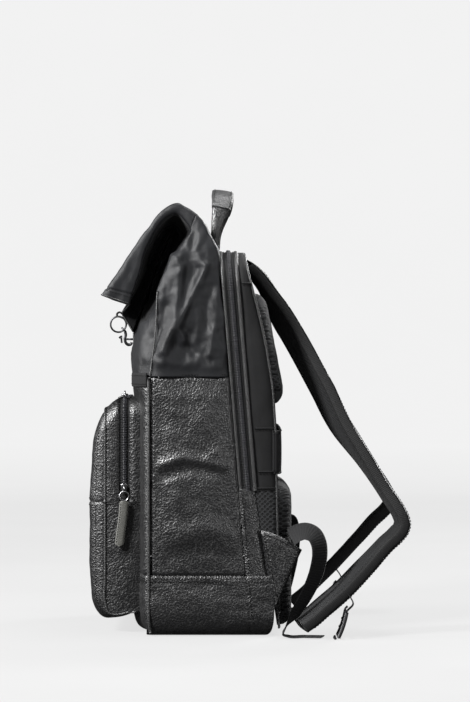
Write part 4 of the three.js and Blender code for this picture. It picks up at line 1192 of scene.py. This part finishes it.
def pocket_gusset():
    """The strips beside the pocket's zip, its tape and teeth, and the stitches along it."""
    grid = arch_rings(GUSSET_RINGS)
    obj = lattice("pocket_gusset", grid, LEATHER, None, (0, -100, 150))
    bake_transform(obj)
    grid = arch_rings(BACK_RINGS)
    lattice("pocket_back_strip", grid, LEATHER, "bag", (0, -80, 150))
    tape = [(-96.2, -0.2), (-94.6, -0.6), (-93.0, 0.2), (-91.1, 0.5), (-89.2, 0.2), (-87.6, -0.6)]
    tape += [(-86.0, -0.2)]
    cloth = arch_band(spline(tape, 16), POCKET_HALF, POCKET_TOP, 18, 133.5, 240, lean=False)
    obj = lattice("pocket_zip_cloth", cloth, WEBBING, "bag", (0, -91, 150))
    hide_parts("pocket_zip_tape")
    teeth = zip_run("pocket_zip_teeth", (POCKET_HALF, POCKET_TOP, 18, 141), -91.1, 240, False, 0.9)
    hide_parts("pocket_zip_coil")
    for name, y, body in (("front", -97.9, "pocket_lid"), ("back", -84.6, "bag")):
        path, out = arch_path(POCKET_HALF + 1.2, 238.6, 18, 150, 200)
        line = upright(path, y)
        stitches(f"pocket_zip_stitch_{name}", line, upright(out, 0.0), body, 3.0, 2.1, 0.3)


pocket_gusset()


def pocket_piping():
    """Piping round the lid, and down the sides of the pocket below it."""
    path, _ = arch_path(POCKET_HALF + 0.3, 227.2, 20, POCKET_SPLIT, 200)
    path = upright(path, PIPING_Y)[::4]
    obj = tube("pocket_piping", path, 1.5, TRIM, None, "smooth_leather", 200)
    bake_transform(obj)
    for tag, s in SIDES:
        low = POCKET_SIDE[POCKET_SIDE[:, 2] <= 133.5] * (s, 1, 1)
        low = resample(low, 40) + np.array((0.3 * s, 0, 0))
        tube(f"pocket_low_piping_{tag}", low[::3], 1.4, TRIM, "bag", "smooth_leather", 80)


pocket_piping()


# ------------------------------------------------------------------ shoulder straps
STRAP_WIDTH = 60.0
STRAP_TWIST = math.radians(13)
FAR_LIFT = 11.0
# Middle line of a strap as (x, y, z) and its share of the length, from the yoke to its lower end.
STRAP_POINTS = [
    (40, 30, 375, 0), (43, 36.5, 370.5, 0), (46, 43.5, 363, 0), (52, 58, 337, 0.1),
    (62, 79, 302.5, 0.15), (78, 107.4, 250, 0.22), (92, 129, 208, 0.3), (102, 150, 177.4, 0.36),
    (107, 162, 159, 0.4), (112, 174, 140, 0.44), (118, 185.4, 121.5, 0.48), (119, 187.6, 116.5, 0.49),
    (119.5, 188.2, 111.4, 0.5), (120, 186.6, 106.6, 0.51), (120, 183, 102.2, 0.52), (122, 172.4, 92.5, 0.6),
    (126, 153.5, 72.6, 0.7), (133, 126.8, 45.5, 0.8), (138, 107, 29, 0.92), (140, 97, 20.5, 0.97),
    (141.5, 86, 12.5, 1),
]
STRAP_STEPS = 190
CROSS_SEAMS = (0.15, 0.33, 0.6)


def strap_across(s):
    """Direction across a strap along its length. It twists a little, mostly in its upper half."""
    def across(t, along):
        outward = np.cross((1, 0, 0), along)
        start = smooth(t, 0.03, 0.16)
        ease = 1 - 0.82 * smooth(t, 0.36, 0.6) + 0.22 * smooth(t, 0.74, 0.84)
        twist = STRAP_TWIST * start * ease
        return np.array((s * math.cos(twist), 0, 0)) + outward * math.sin(twist)
    return across


def strap_center(s):
    """Middle line of a strap. The right one's bend hangs a little higher."""
    lift = 0 if s > 0 else FAR_LIFT
    points = [(s * x, y, z + lift * math.sin(math.pi * t)) for x, y, z, t in STRAP_POINTS]
    return spline(points, STRAP_STEPS)


def band_section(half, low, high, crown_low, crown_high, count=18):
    """Closed outline of a soft band: [across, outward], fuller in the middle on both faces."""
    u = np.linspace(-1, 1, count)
    shape = (1 - np.abs(u) ** 3.2) ** 0.5
    round_off = min(1.4, (high - low) / 2)
    top = high - round_off + round_off * shape + crown_high * (1 - u**2)
    bottom = low + round_off - round_off * shape - crown_low * (1 - u**2)
    lower, upper = (np.column_stack([u * half, height]) for height in (bottom, top))
    return np.concatenate([lower, upper[::-1]])


def shoulder_strap(side, s):
    """Padded strap: mesh cushion, leather facing, bound edges and stitches."""
    edge = STRAP_WIDTH / 2
    path = strap_center(s)
    _, wide, out = frames(path, strap_across(s))
    out = out * s
    t = np.linspace(0, 1, len(path))

    def surface(section):
        """section is [across, outward] pairs."""
        across, outward = section[None, :, :1], section[None, :, 1:]
        return path[:, None] + wide[:, None] * across + out[:, None] * outward

    grid = surface(band_section(edge - 1.0, -5.0, 4.8, 0.0, 0.8))
    shape = rough(grid, (24, 24, 24), 40.0 * s, 2)
    thin = 1 - 0.55 * (1 - smooth(t, 0, 0.05))
    depth = np.sum((grid - path[:, None]) * out[:, None], axis=-1, keepdims=True)
    grid = grid - out[:, None] * depth * (1 - thin)[:, None, None]
    grid = grid + unit(grid - path[:, None]) * (0.5 * shape)[..., None]
    pieces = [lattice(f"strap_cushion_{side}", grid, MESH_UV, None, loop_v=True, caps=True)]
    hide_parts(f"strap_pad_{side}")
    skin = surface(band_section(edge + 0.2, -7.6, -4.8, 0.4, -0.4))
    cross = sum(np.exp(-(((t - place) / 0.0035) ** 2)) for place in CROSS_SEAMS)
    wave = rough(skin, (26, 26, 26), 51.0 * s, 3) * 0.5
    skin = skin - out[:, None] * (wave - 1.0 * cross[:, None])[..., None]
    skin = skin + out[:, None] * (4.4 * (1 - thin))[:, None, None]
    pieces.append(lattice(f"strap_facing_{side}", skin, LEATHER, None, loop_v=True, caps=True))
    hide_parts(f"strap_leather_{side}")
    for tag, k in (("inner", -1), ("outer", 1)):
        turn = np.linspace(-math.pi / 2, math.pi / 2, 9)
        fold = [(k * (edge - 4.5), -5.6)]
        fold += [(k * (edge - 0.6 + 1.4 * math.cos(a)), -0.9 + 4.8 * math.sin(a)) for a in turn]
        fold += [(k * (edge - 5.5), 4.4)]
        grid = surface(np.array(fold))[6:]
        pieces.append(lattice(f"strap_binding_{tag}_{side}", grid, TRIM_TAPE, None, wall=0.7))
        for face, v, look in (("a", -7.9, -1), ("b", 4.7, 1)):
            line = path + wide * (k * (edge - 6.0)) + out * v
            name = f"strap_stitch_{tag}_{face}_{side}"
            up = out * look
            pieces.append(stitches(name, line[10:-3], up[10:-3], None, 3.4, 2.5, 0.34, -0.25))
    u = np.linspace(-edge + 4, edge - 4, 20)[:, None]
    for index, place in enumerate(CROSS_SEAMS):
        for row, shift in enumerate((-2, 2)):
            k = int(place * STRAP_STEPS) + shift
            line = path[k] + wide[k] * u - out[k] * (7.9 - 0.4 * (u / 30) ** 2)
            name = f"strap_cross_stitch_{index}_{row}_{side}"
            pieces.append(stitches(name, line, -out[k], None, 3.2, 2.3, 0.34, 0.0))
    for piece in pieces:
        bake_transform(piece)


for side, s in SIDES:
    shoulder_strap(side, s)


def strap_top(side, s):
    """Sewn-on upper end: a leather yoke tongue that the strap comes out from."""
    tongue = [(s * 43, 26.5, 380.5), (s * 43, 30.5, 379.4), (s * 44, 35.0, 376.0), (s * 45, 39.5, 371.4)]
    section = band_section(27, -1.2, 1.2, 0, 0.5, 14)
    path = spline(tongue, 24)
    obj = band(f"strap_yoke_{side}", path, facing((1, 0, 0)), section, LEATHER, "bag", "leather")
    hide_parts(f"strap_anchor_{side}")


for side, s in SIDES:
    strap_top(side, s)

# Middle line of the webbing from the leather tab down along the floor, on the left and on the right.
WEB_NEAR = [
    (148, 76.5, 100), (149, 84, 104.5), (150, 91.6, 106), (152, 100.5, 102), (153, 104.6, 94),
    (153.4, 105.6, 84), (153, 103.4, 69.6), (152, 92.6, 43), (151, 80, 22.3), (151, 71, 9), (151, 69, 3.4),
    (152, 74, 1.6), (154, 90, 1.5), (158, 108, 1.6),
]
WEB_FAR = [
    (148, 76.5, 100), (150, 81.5, 98), (151, 84, 90), (151.5, 84, 70), (151.5, 80, 45), (151, 75, 22),
    (151, 70, 8), (151, 70, 2.6), (152, 76, 1.6), (154, 90, 1.5), (158, 108, 1.6),
]


def strap_webbing(side, s):
    """Webbing from the tab, in a loop down to the floor. It ends short of the ladder-lock."""
    path = spline([(s * x, y, z) for x, y, z in (WEB_NEAR if s > 0 else WEB_FAR)], 130)

    def across(t, along):
        open_up = 40 - 12 * float(smooth(t, 0.3, 0.72))
        face_on = math.radians(open_up * (1 - float(smooth(t, 0.62, 0.76))))
        side_way = unit(np.cross(along, (s, 0, 0)))
        return np.array((s * math.cos(face_on), 0, 0)) + side_way * (s * math.sin(face_on))

    section = band_section(12.5, -0.8, 0.8, 0, 0, 12)
    section[:, 1] = np.clip(section[:, 1], -0.8, 0.8)
    obj = band(f"strap_web_{side}", path, across, section, WEBBING, None, "webbing")
    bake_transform(obj)
    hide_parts(f"strap_webbing_{side}")


for side, s in SIDES:
    strap_webbing(side, s)


def corner_tab(side, s):
    """Leather tab at the lower rear corner that holds the webbing, with its stitched edge."""
    corners = np.array([(46.7, 107), (65, 100.5), (88, 87.2), (62, 32)], float)
    n = 16
    grid = np.zeros((n, n, 3))
    u = np.linspace(0, 1, n)
    left = corners[0] + (corners[3] - corners[0]) * u[:, None]
    right = corners[2] + (corners[3] - corners[2]) * u[:, None] * 0.999
    for k in range(n):
        row = left[k] * (1 - u[:, None]) + right[k] * u[:, None]
        grid[k, :, 1] = row[:, 0]
        grid[k, :, 2] = row[:, 1] + 3.0 * np.sin(math.pi * u) * (1 - u[k])
    edge = np.minimum(np.minimum(u, 1 - u)[None, :], u[:, None] + 0.02)
    grid[..., 0] = s * (145.4 + 1.4 * smooth(edge, 0, 0.14) + 0.5 * rough(grid, 14, 61.0))
    obj = lattice(f"corner_tab_{side}", grid, LEATHER, "bag", (s * 130, 60, 80), wall=2.0)
    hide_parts(f"strap_tab_{side}")
    inner = corners.mean(axis=0)
    ring = inner + (corners - inner) * 0.84
    ring = np.column_stack([np.full(5, s * 147.0), ring[[0, 1, 2, 3, 0]]])
    stitches(f"corner_tab_stitch_{side}", resample(ring, 60), (s, 0, 0), "bag", 3.2, 2.4, 0.34)


for side, s in SIDES:
    corner_tab(side, s)


def ladder_lock(side, s):
    """Frame of the ladder-lock with rounded bars and a lifted grip lip."""
    centre = np.array((s * 160.0, 123.2, 1.2))
    lean = math.radians(-18)
    body = f"lock_{side}"

    def place(points):
        p = np.array(points, float)
        y = p[:, 1] * math.cos(lean) - p[:, 2] * math.sin(lean)
        z = p[:, 1] * math.sin(lean) + p[:, 2] * math.cos(lean)
        return np.column_stack([p[:, 0], y, z]) + centre

    bars = ((1.9, 1.7, 0), (10.0, 1.9, 0.6), (18.5, 1.9, 0.9), (26.4, 1.7, 0))
    first = None
    for index, (z, radius, bow) in enumerate(bars):
        line = place([(-15, 0, z), (-7, bow, z), (0, bow * 1.2, z), (7, bow, z), (15, 0, z)])
        bar = tube(f"lock_bar_{index}_{side}", line, radius, PLASTIC, body, "black_plastic", 24)
        first = first or bar
    for tag, x in (("a", -14.6), ("b", 14.6)):
        line = place([(x, 0, 0.8), (x, 0.7, 8), (x, 0.7, 20), (x * 0.97, 0, 27.4)])
        tube(f"lock_rail_{tag}_{side}", line, 2.0, PLASTIC, body, "black_plastic", 30)
    lip = place([(-12, -2.4, -1.0), (0, -3.0, -1.4), (12, -2.4, -1.0)])
    tube(f"lock_lip_{side}", lip, 1.3, PLASTIC, body, "black_plastic", 20)
    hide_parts(f"ladder_lock_{side}")
    hanger = [(156, 133.5, 44), (157, 136.4, 40), (158.2, 138.6, 34.2), (158, 134.0, 28.8)]
    hanger += [(158, 131.5, 26.5), (158, 130.5, 29.0), (158, 133.0, 32.0)]
    path = spline([(s * x, y, z) for x, y, z in hanger], 50)
    section = band_section(7.5, -0.7, 0.7, 0, 0, 8)
    strap = f"strap_{side}"
    loop = band(f"lock_hanger_{side}", path, facing((1, 0, 0)), section, WEBBING, strap, "webbing")
    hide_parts(f"buckle_tab_{side}")


for side, s in SIDES:
    ladder_lock(side, s)


# ------------------------------------------------------------------ carry handle
HANDLE_PATH = [
    (-56, 0, 394), (-55.4, 0.5, 403), (-53, 2.6, 417), (-49, 6.4, 433), (-41, 8, 442), (-26, 8, 448),
    (0, 8, 450), (26, 8, 448), (41, 8, 442), (49, 6.4, 433), (53, 2.6, 417), (55.4, 0.5, 403), (56, 0, 394),
]
HANDLE_FLAT = facing((0, 1, -0.14))


def handle():
    """Leather handle with its folded and stitched grip, and the patch that holds its ends."""
    path = spline(HANDLE_PATH, 150)
    t = np.linspace(0, 1, len(path))
    run = np.minimum(t, 1 - t)
    half = 4.8 + 4.7 * smooth(run, 0.06, 0.25)
    base = band_section(1.0, -1.8, 1.8, 0.5, 0.5, 12)
    section = np.repeat(base[None], len(path), axis=0)
    section[..., 0] *= half[:, None]
    obj = band("handle_strap", path, HANDLE_FLAT, section, LEATHER, None, "leather")
    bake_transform(obj)
    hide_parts("carry_handle")
    middle = resample(path[int(0.21 * 150):int(0.79 * 150) + 1], 90)
    grid = swept(middle, HANDLE_FLAT, band_section(11.2, -3.9, 3.9, 0.4, 0.4, 18))
    swell = 1 - 0.16 * np.abs(np.linspace(-1, 1, 91)) ** 6
    centre = middle[:, None]
    grid = centre + (grid - centre) * swell[:, None, None]
    obj = lattice("handle_wrap", grid, FOLDED, "handle", loop_v=True, caps=True)
    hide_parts("handle_grip")
    _, wide, out = frames(middle, HANDLE_FLAT)
    for tag, k in (("a", -1), ("b", 1)):
        line = middle + wide * 8.6 * k + out * 4.2
        stitches(f"handle_stitch_{tag}", line[3:-3], out[3:-3], "handle", 3.0, 2.2, 0.32)
    patch = np.zeros((50, 14, 3))
    x = np.linspace(-66, 66, 50)
    rows = np.linspace(0, 1, 14)
    patch[..., 0] = x[:, None]
    patch[..., 1] = 6.6 - 5.6 * rows**1.3
    patch[..., 2] = 381 + 20.5 * rows
    patch[..., 1] += 0.5 * rough(patch, 20, 71.0)
    obj = lattice("handle_base", patch, LEATHER, "bag", (0, -20, 380), wall=2.0)
    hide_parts("handle_patch")


handle()


# ------------------------------------------------------------------ ring, hook and zip sliders
def ring_and_hook():
    """Wire ring in its tab on the flap, the snap hook with its gate, and the anchor on the front."""
    tab = [(0, -84.4, 310.0), (0, -91, 317.6), (0, -97.4, 325.0), (0, -100.6, 326.6), (0, -102.8, 325.0)]
    tab += [(0, -102.6, 322.6), (0, -100.0, 322.0), (0, -96.2, 320.4)]
    section = band_section(7, -0.9, 0.9, 0, 0.2, 10)
    path = spline(tab, 50)
    obj = band("ring_loop", path, facing((1, 0, 0)), section, TRIM, "roll_flap", "smooth_leather")
    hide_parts("ring_tab")
    centre = (0, -101.5, 314)
    ring = loop_tube("ring_wire", centre, (1, 0, 0), 8.2, 0.95, DARK_STEEL, "ring")
    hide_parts("wire_ring")
    centre = (0, -95.7, 308.2)
    eye = loop_tube("hook_eye", centre, (0, 0.707, 0.707), 2.7, 1.0, DARK_STEEL, "hook")
    shank = [(0, -94.4, 306.6), (0, -93.8, 303), (0, -94.6, 298.6), (0, -93.8, 294.8)]
    shank += [(0, -91.2, 292.6), (0, -88.2, 293.4), (0, -87.4, 295.2)]
    tube("hook_shank", shank, 1.55, DARK_STEEL, "hook", "steel", 50)
    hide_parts("snap_hook")
    blade = [(0, -98.4, 302.2), (0, -98.4, 299), (0, -98.0, 294.4)]
    gate = tube("hook_gate_blade", blade, 1.05, DARK_STEEL, "gate", "steel", 20)
    thumb = [(-1.8, -99.4, 300.4), (0, -99.9, 300.2), (1.8, -99.4, 300.4)]
    tube("hook_thumb", thumb, 1.3, DARK_STEEL, "gate", "steel", 16)
    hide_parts("hook_gate")
    patch = np.zeros((16, 20, 3))
    patch[..., 0] = np.linspace(-10, 10, 16)[:, None]
    patch[..., 2] = np.linspace(282, 306, 20)
    patch[..., 1] = -85.4 - 0.03 * (patch[..., 2] - 282)
    lattice("hook_patch", patch, TRIM, "bag", (0, -60, 294), wall=1.8)
    wire = [(-6.8, -85.6, 298.4), (-6.8, -89.4, 298.4), (-5.6, -90.6, 298.4), (5.6, -90.6, 298.4)]
    wire += [(6.8, -89.4, 298.4), (6.8, -85.6, 298.4)]
    staple = tube("hook_staple", wire, 1.05, DARK_STEEL, "bag", "steel", 60)
    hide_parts("hook_anchor")


ring_and_hook()


def slider(name, centre, up, travel, body, cad):
    """Zip slider: a two-lobed body over the coil with a bridge for its pull."""
    up, travel = unit(np.array(up, float)), unit(np.array(travel, float))
    centre = np.array(centre, float)
    cross = np.cross(up, travel)
    t = np.linspace(-1, 1, 22)
    width = 3.4 + 1.3 * t - 0.9 * (1 - t**2)
    width = np.maximum(width * np.sqrt(np.maximum(1 - np.abs(t) ** 8, 0.02)), 0.3)
    a = np.linspace(0, 2 * math.pi, 14, endpoint=False)
    lift = 1.15 * np.sign(np.sin(a)) * np.abs(np.sin(a)) ** 0.6
    rings = []
    for share, w in zip(t, width):
        across = w * np.sign(np.cos(a)) * np.abs(np.cos(a)) ** 0.6
        rings.append(centre + travel * share * 5.6 + cross * across[:, None] + up * lift[:, None])
    obj = lattice(name, np.array(rings), STEEL, body, loop_v=True, caps=True)
    arch = [(-3.4, 0.8), (-2.8, 2.6), (-1.0, 3.3), (1.4, 3.2), (2.8, 2.2), (3.4, 0.8)]
    arch = [centre + travel * along + up * high for along, high in arch]
    tube(f"{name}_bridge", arch, 0.75, STEEL, body, "steel", 30)
    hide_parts(cad)


def sliders():
    """Sliders of the three zips with their pulls, and the small badge on the pocket."""
    at = (108.6, -91.1, 146)
    slider("side_zip_slider", at, (1, 0, 0), (0, 0, 1), "side_slider", "pocket_side_slider")
    at = (91, -91.1, 241.6)
    slider("top_zip_slider", at, (0, 0, 1), (1, 0, 0), "top_slider", "pocket_top_slider")
    y = back_edge(166) + 9.5
    at = (-145.6, y, 166)
    slider("rear_zip_runner", at, (-1, 0, 0), (0, -0.083, 1), "rear_slider", "rear_zip_slider")
    at = (112.15, -91.1, 139)
    ring = loop_tube("side_pull_ring", at, (1, 0, 0), 4.6, 0.85, STEEL, "side_pull")
    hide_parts("pocket_pull_ring")
    strip = [(112.1, -91.1, 134.5), (112.3, -92.2, 120), (112.2, -94.4, 104), (112.0, -96.3, 88.6)]
    strip = spline(strip, 60)
    t = np.linspace(0, 1, 61)
    half = 4.6 * np.sqrt(np.maximum(1 - np.clip((0.04 - t) / 0.04, 0, 1) ** 2, 0.04))
    half *= np.sqrt(np.maximum(1 - np.clip((t - 0.93) / 0.07, 0, 1) ** 2, 0.03))
    section = np.repeat(band_section(1, -1.2, 1.2, 0, 0.25, 12)[None], 61, axis=0)
    section[..., 0] *= half[:, None]
    flat = facing((0, 1, 0))
    obj = band("side_pull_strip", strip, flat, section, PULL, "side_pull", "smooth_leather")
    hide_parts("pocket_pull_strip")
    _, wide, _ = frames(strip, flat)
    for tag, k in (("a", -1), ("b", 1)):
        line = strip + wide * 3.3 * k + np.array((1.45, 0, 0))
        stitches(f"side_pull_stitch_{tag}", line[4:-4], (1, 0, 0), "side_pull", 2.4, 1.7, 0.22)
    rear = spline([(-149.6, y, 168), (-150.2, y + 0.4, 152), (-150.0, y + 1.2, 137)], 30)
    section = band_section(3.4, -0.9, 0.9, 0, 0.2, 10)
    obj = band("rear_pull_strip", rear, flat, section, PULL, "rear_pull", "smooth_leather")
    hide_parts("rear_zip_pull")
    badge = np.zeros((30, 24, 3))
    u, v = np.linspace(-1, 1, 30)[:, None], np.linspace(-1, 1, 24)[None]
    badge[..., 0], badge[..., 2] = 14 * u, 50 + 12 * v
    rim = np.minimum(1 - np.abs(u), 1 - np.abs(v))
    face = np.interp(badge[..., 2], (38, 52, 75), (-126.4, -127.3, -127.6))
    badge[..., 1] = face - 0.6 - 1.3 * smooth(rim, 0, 0.12)
    obj = lattice("pocket_patch", badge, TRIM, "bag", (0, -90, 60), wall=0.8)
    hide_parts("pocket_badge")


sliders()


# ------------------------------------------------------------------ padded back
def back_cushion(name, z0, z1, half, face, root, cad, channels):
    """Moulded back pad under mesh: domed, pressed in along its channels and rolled at the edges."""
    u = np.linspace(-1, 1, 110)[:, None]
    v = np.linspace(0, 1, 90)[None]
    z = z0 + (z1 - z0) * v + 0 * u
    x = half * np.sign(u) * (1 - (1 - np.abs(u)) ** 1.3) + 0 * v
    corner = 26.0
    from_end = np.minimum(z - z0, z1 - z)
    reach = round_corner(half, corner, np.clip(corner - from_end, 0, corner))
    x = np.clip(x, -reach, reach)
    near = np.minimum(np.maximum(reach - np.abs(x), 0), from_end)
    dome = quarter_round(near, 15.0)
    low = root(z)
    high = face(z) + 2.4 * np.cos(x / half * math.pi / 2)
    press = np.zeros_like(x)
    folded = np.stack([np.abs(x), z], axis=-1)
    for line in channels:
        press += 3.4 * np.exp(-((distance_to(folded, line) / 4.2) ** 2))
    points = np.stack([x, low + (high - low) * dome, z], axis=-1)
    points[..., 1] += (0.7 * rough(points, (30, 30, 30), 81.0) - press) * smooth(dome, 0.2, 0.9)
    obj = lattice(name, points, MESH, "bag", (0, 20, (z0 + z1) / 2))
    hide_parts(cad)


def upper_face(z):
    return 68.2 - np.maximum(z - 250, 0) * 0.19


def upper_root(z):
    return back_at(z) + 2.4


def lower_face(z):
    return 77.0


def lower_root(z):
    return back_at(z) + 1.5


# Channels of the pads as lines of (distance from the middle, z).
UPPER_CHANNELS = [[(0, 300), (40, 296), (90, 280)], [(30, 240), (30, 290)]]
LOWER_CHANNELS = [[(0, 96), (60, 92), (110, 84)], [(34, 20), (34, 90)]]
back_cushion("upper_cushion", 232, 345, 128, upper_face, upper_root, "upper_back_pad", UPPER_CHANNELS)
back_cushion("lower_cushion", 8, 151, 128, lower_face, lower_root, "lower_back_pad", LOWER_CHANNELS)


# ------------------------------------------------------------------ finishes of the kept CAD pieces
KEPT = {
    "compartment_divider": LINING_AND_FOLD_SHADE,
    "laptop_sleeve": LINING_AND_FOLD_SHADE,
    "base_board": PLASTIC,
    "back_stiffener": PLASTIC,
}
for node_name, node_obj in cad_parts.items():
    if node_obj.hide_render:
        continue
    finish = KEPT.get(node_name, LEATHER)
    for material_slot in node_obj.material_slots:
        material_slot.material = finish


# ------------------------------------------------------------------ floor and backdrop
PAPER_GLOW = (0.71, 0.855)
WORLD_STRENGTH = 0.035
SPOKES = 72


def sweep_floor():
    """Glowing round floor that curves up into a backdrop on all sides. Its profile is in metres."""
    profile = spline([(0.4, 0), (2, 0), (4.6, 0), (5.8, 0.15), (6.7, 0.8), (7.1, 2), (7.2, 4.2)], 40)
    turns = np.linspace(0, 2 * math.pi, SPOKES, endpoint=False)
    grid = np.zeros((len(profile), SPOKES, 3))
    grid[..., 0] = profile[:, :1] * np.cos(turns) * 1000
    grid[..., 1] = profile[:, :1] * np.sin(turns) * 1000
    grid[..., 2] = profile[:, 1:] * 1000 - 0.05
    verts = [*grid.reshape(-1, 3), (0, 0, -0.05)]
    faces = []
    for k in range(SPOKES):
        after = (k + 1) % SPOKES
        faces.append((len(verts) - 1, after, k))
        for low in range(0, SPOKES * (len(profile) - 1), SPOKES):
            high = low + SPOKES
            faces.append((low + k, low + after, high + after, high + k))
    material, tree, shader = new_material("studio_paper")
    coords = object_coords(tree)
    faint = noise_node(tree, coords, 3, 3)
    tone = ramp(tree, faint.outputs["Fac"], [(0.3, 0.042), (0.7, 0.052)])
    link(tree, tone, shader.inputs["Base Color"])
    reach = add_node(tree, "ShaderNodeVectorMath", operation="LENGTH")
    link(tree, coords, reach.inputs[0])
    far = math_node(tree, "MULTIPLY", reach.outputs["Value"], 0.1)
    glow = ramp(tree, far, [(0.12, PAPER_GLOW[0]), (0.5, PAPER_GLOW[1])])
    link(tree, glow, shader.inputs["Emission Strength"])
    set_inputs(shader, {"Emission Color": (1, 1, 1, 1), "Roughness": 0.9, "Specular IOR Level": 0.1})
    paper = build("studio_floor", verts, faces, material, None)
    paper.visible_glossy = False


sweep_floor()
world = bpy.data.worlds.new("studio")
world.use_nodes = True
world.node_tree.nodes["Background"].inputs["Color"].default_value = (1, 1, 1, 1)
world.node_tree.nodes["Background"].inputs["Strength"].default_value = WORLD_STRENGTH
bpy.context.scene.world = world
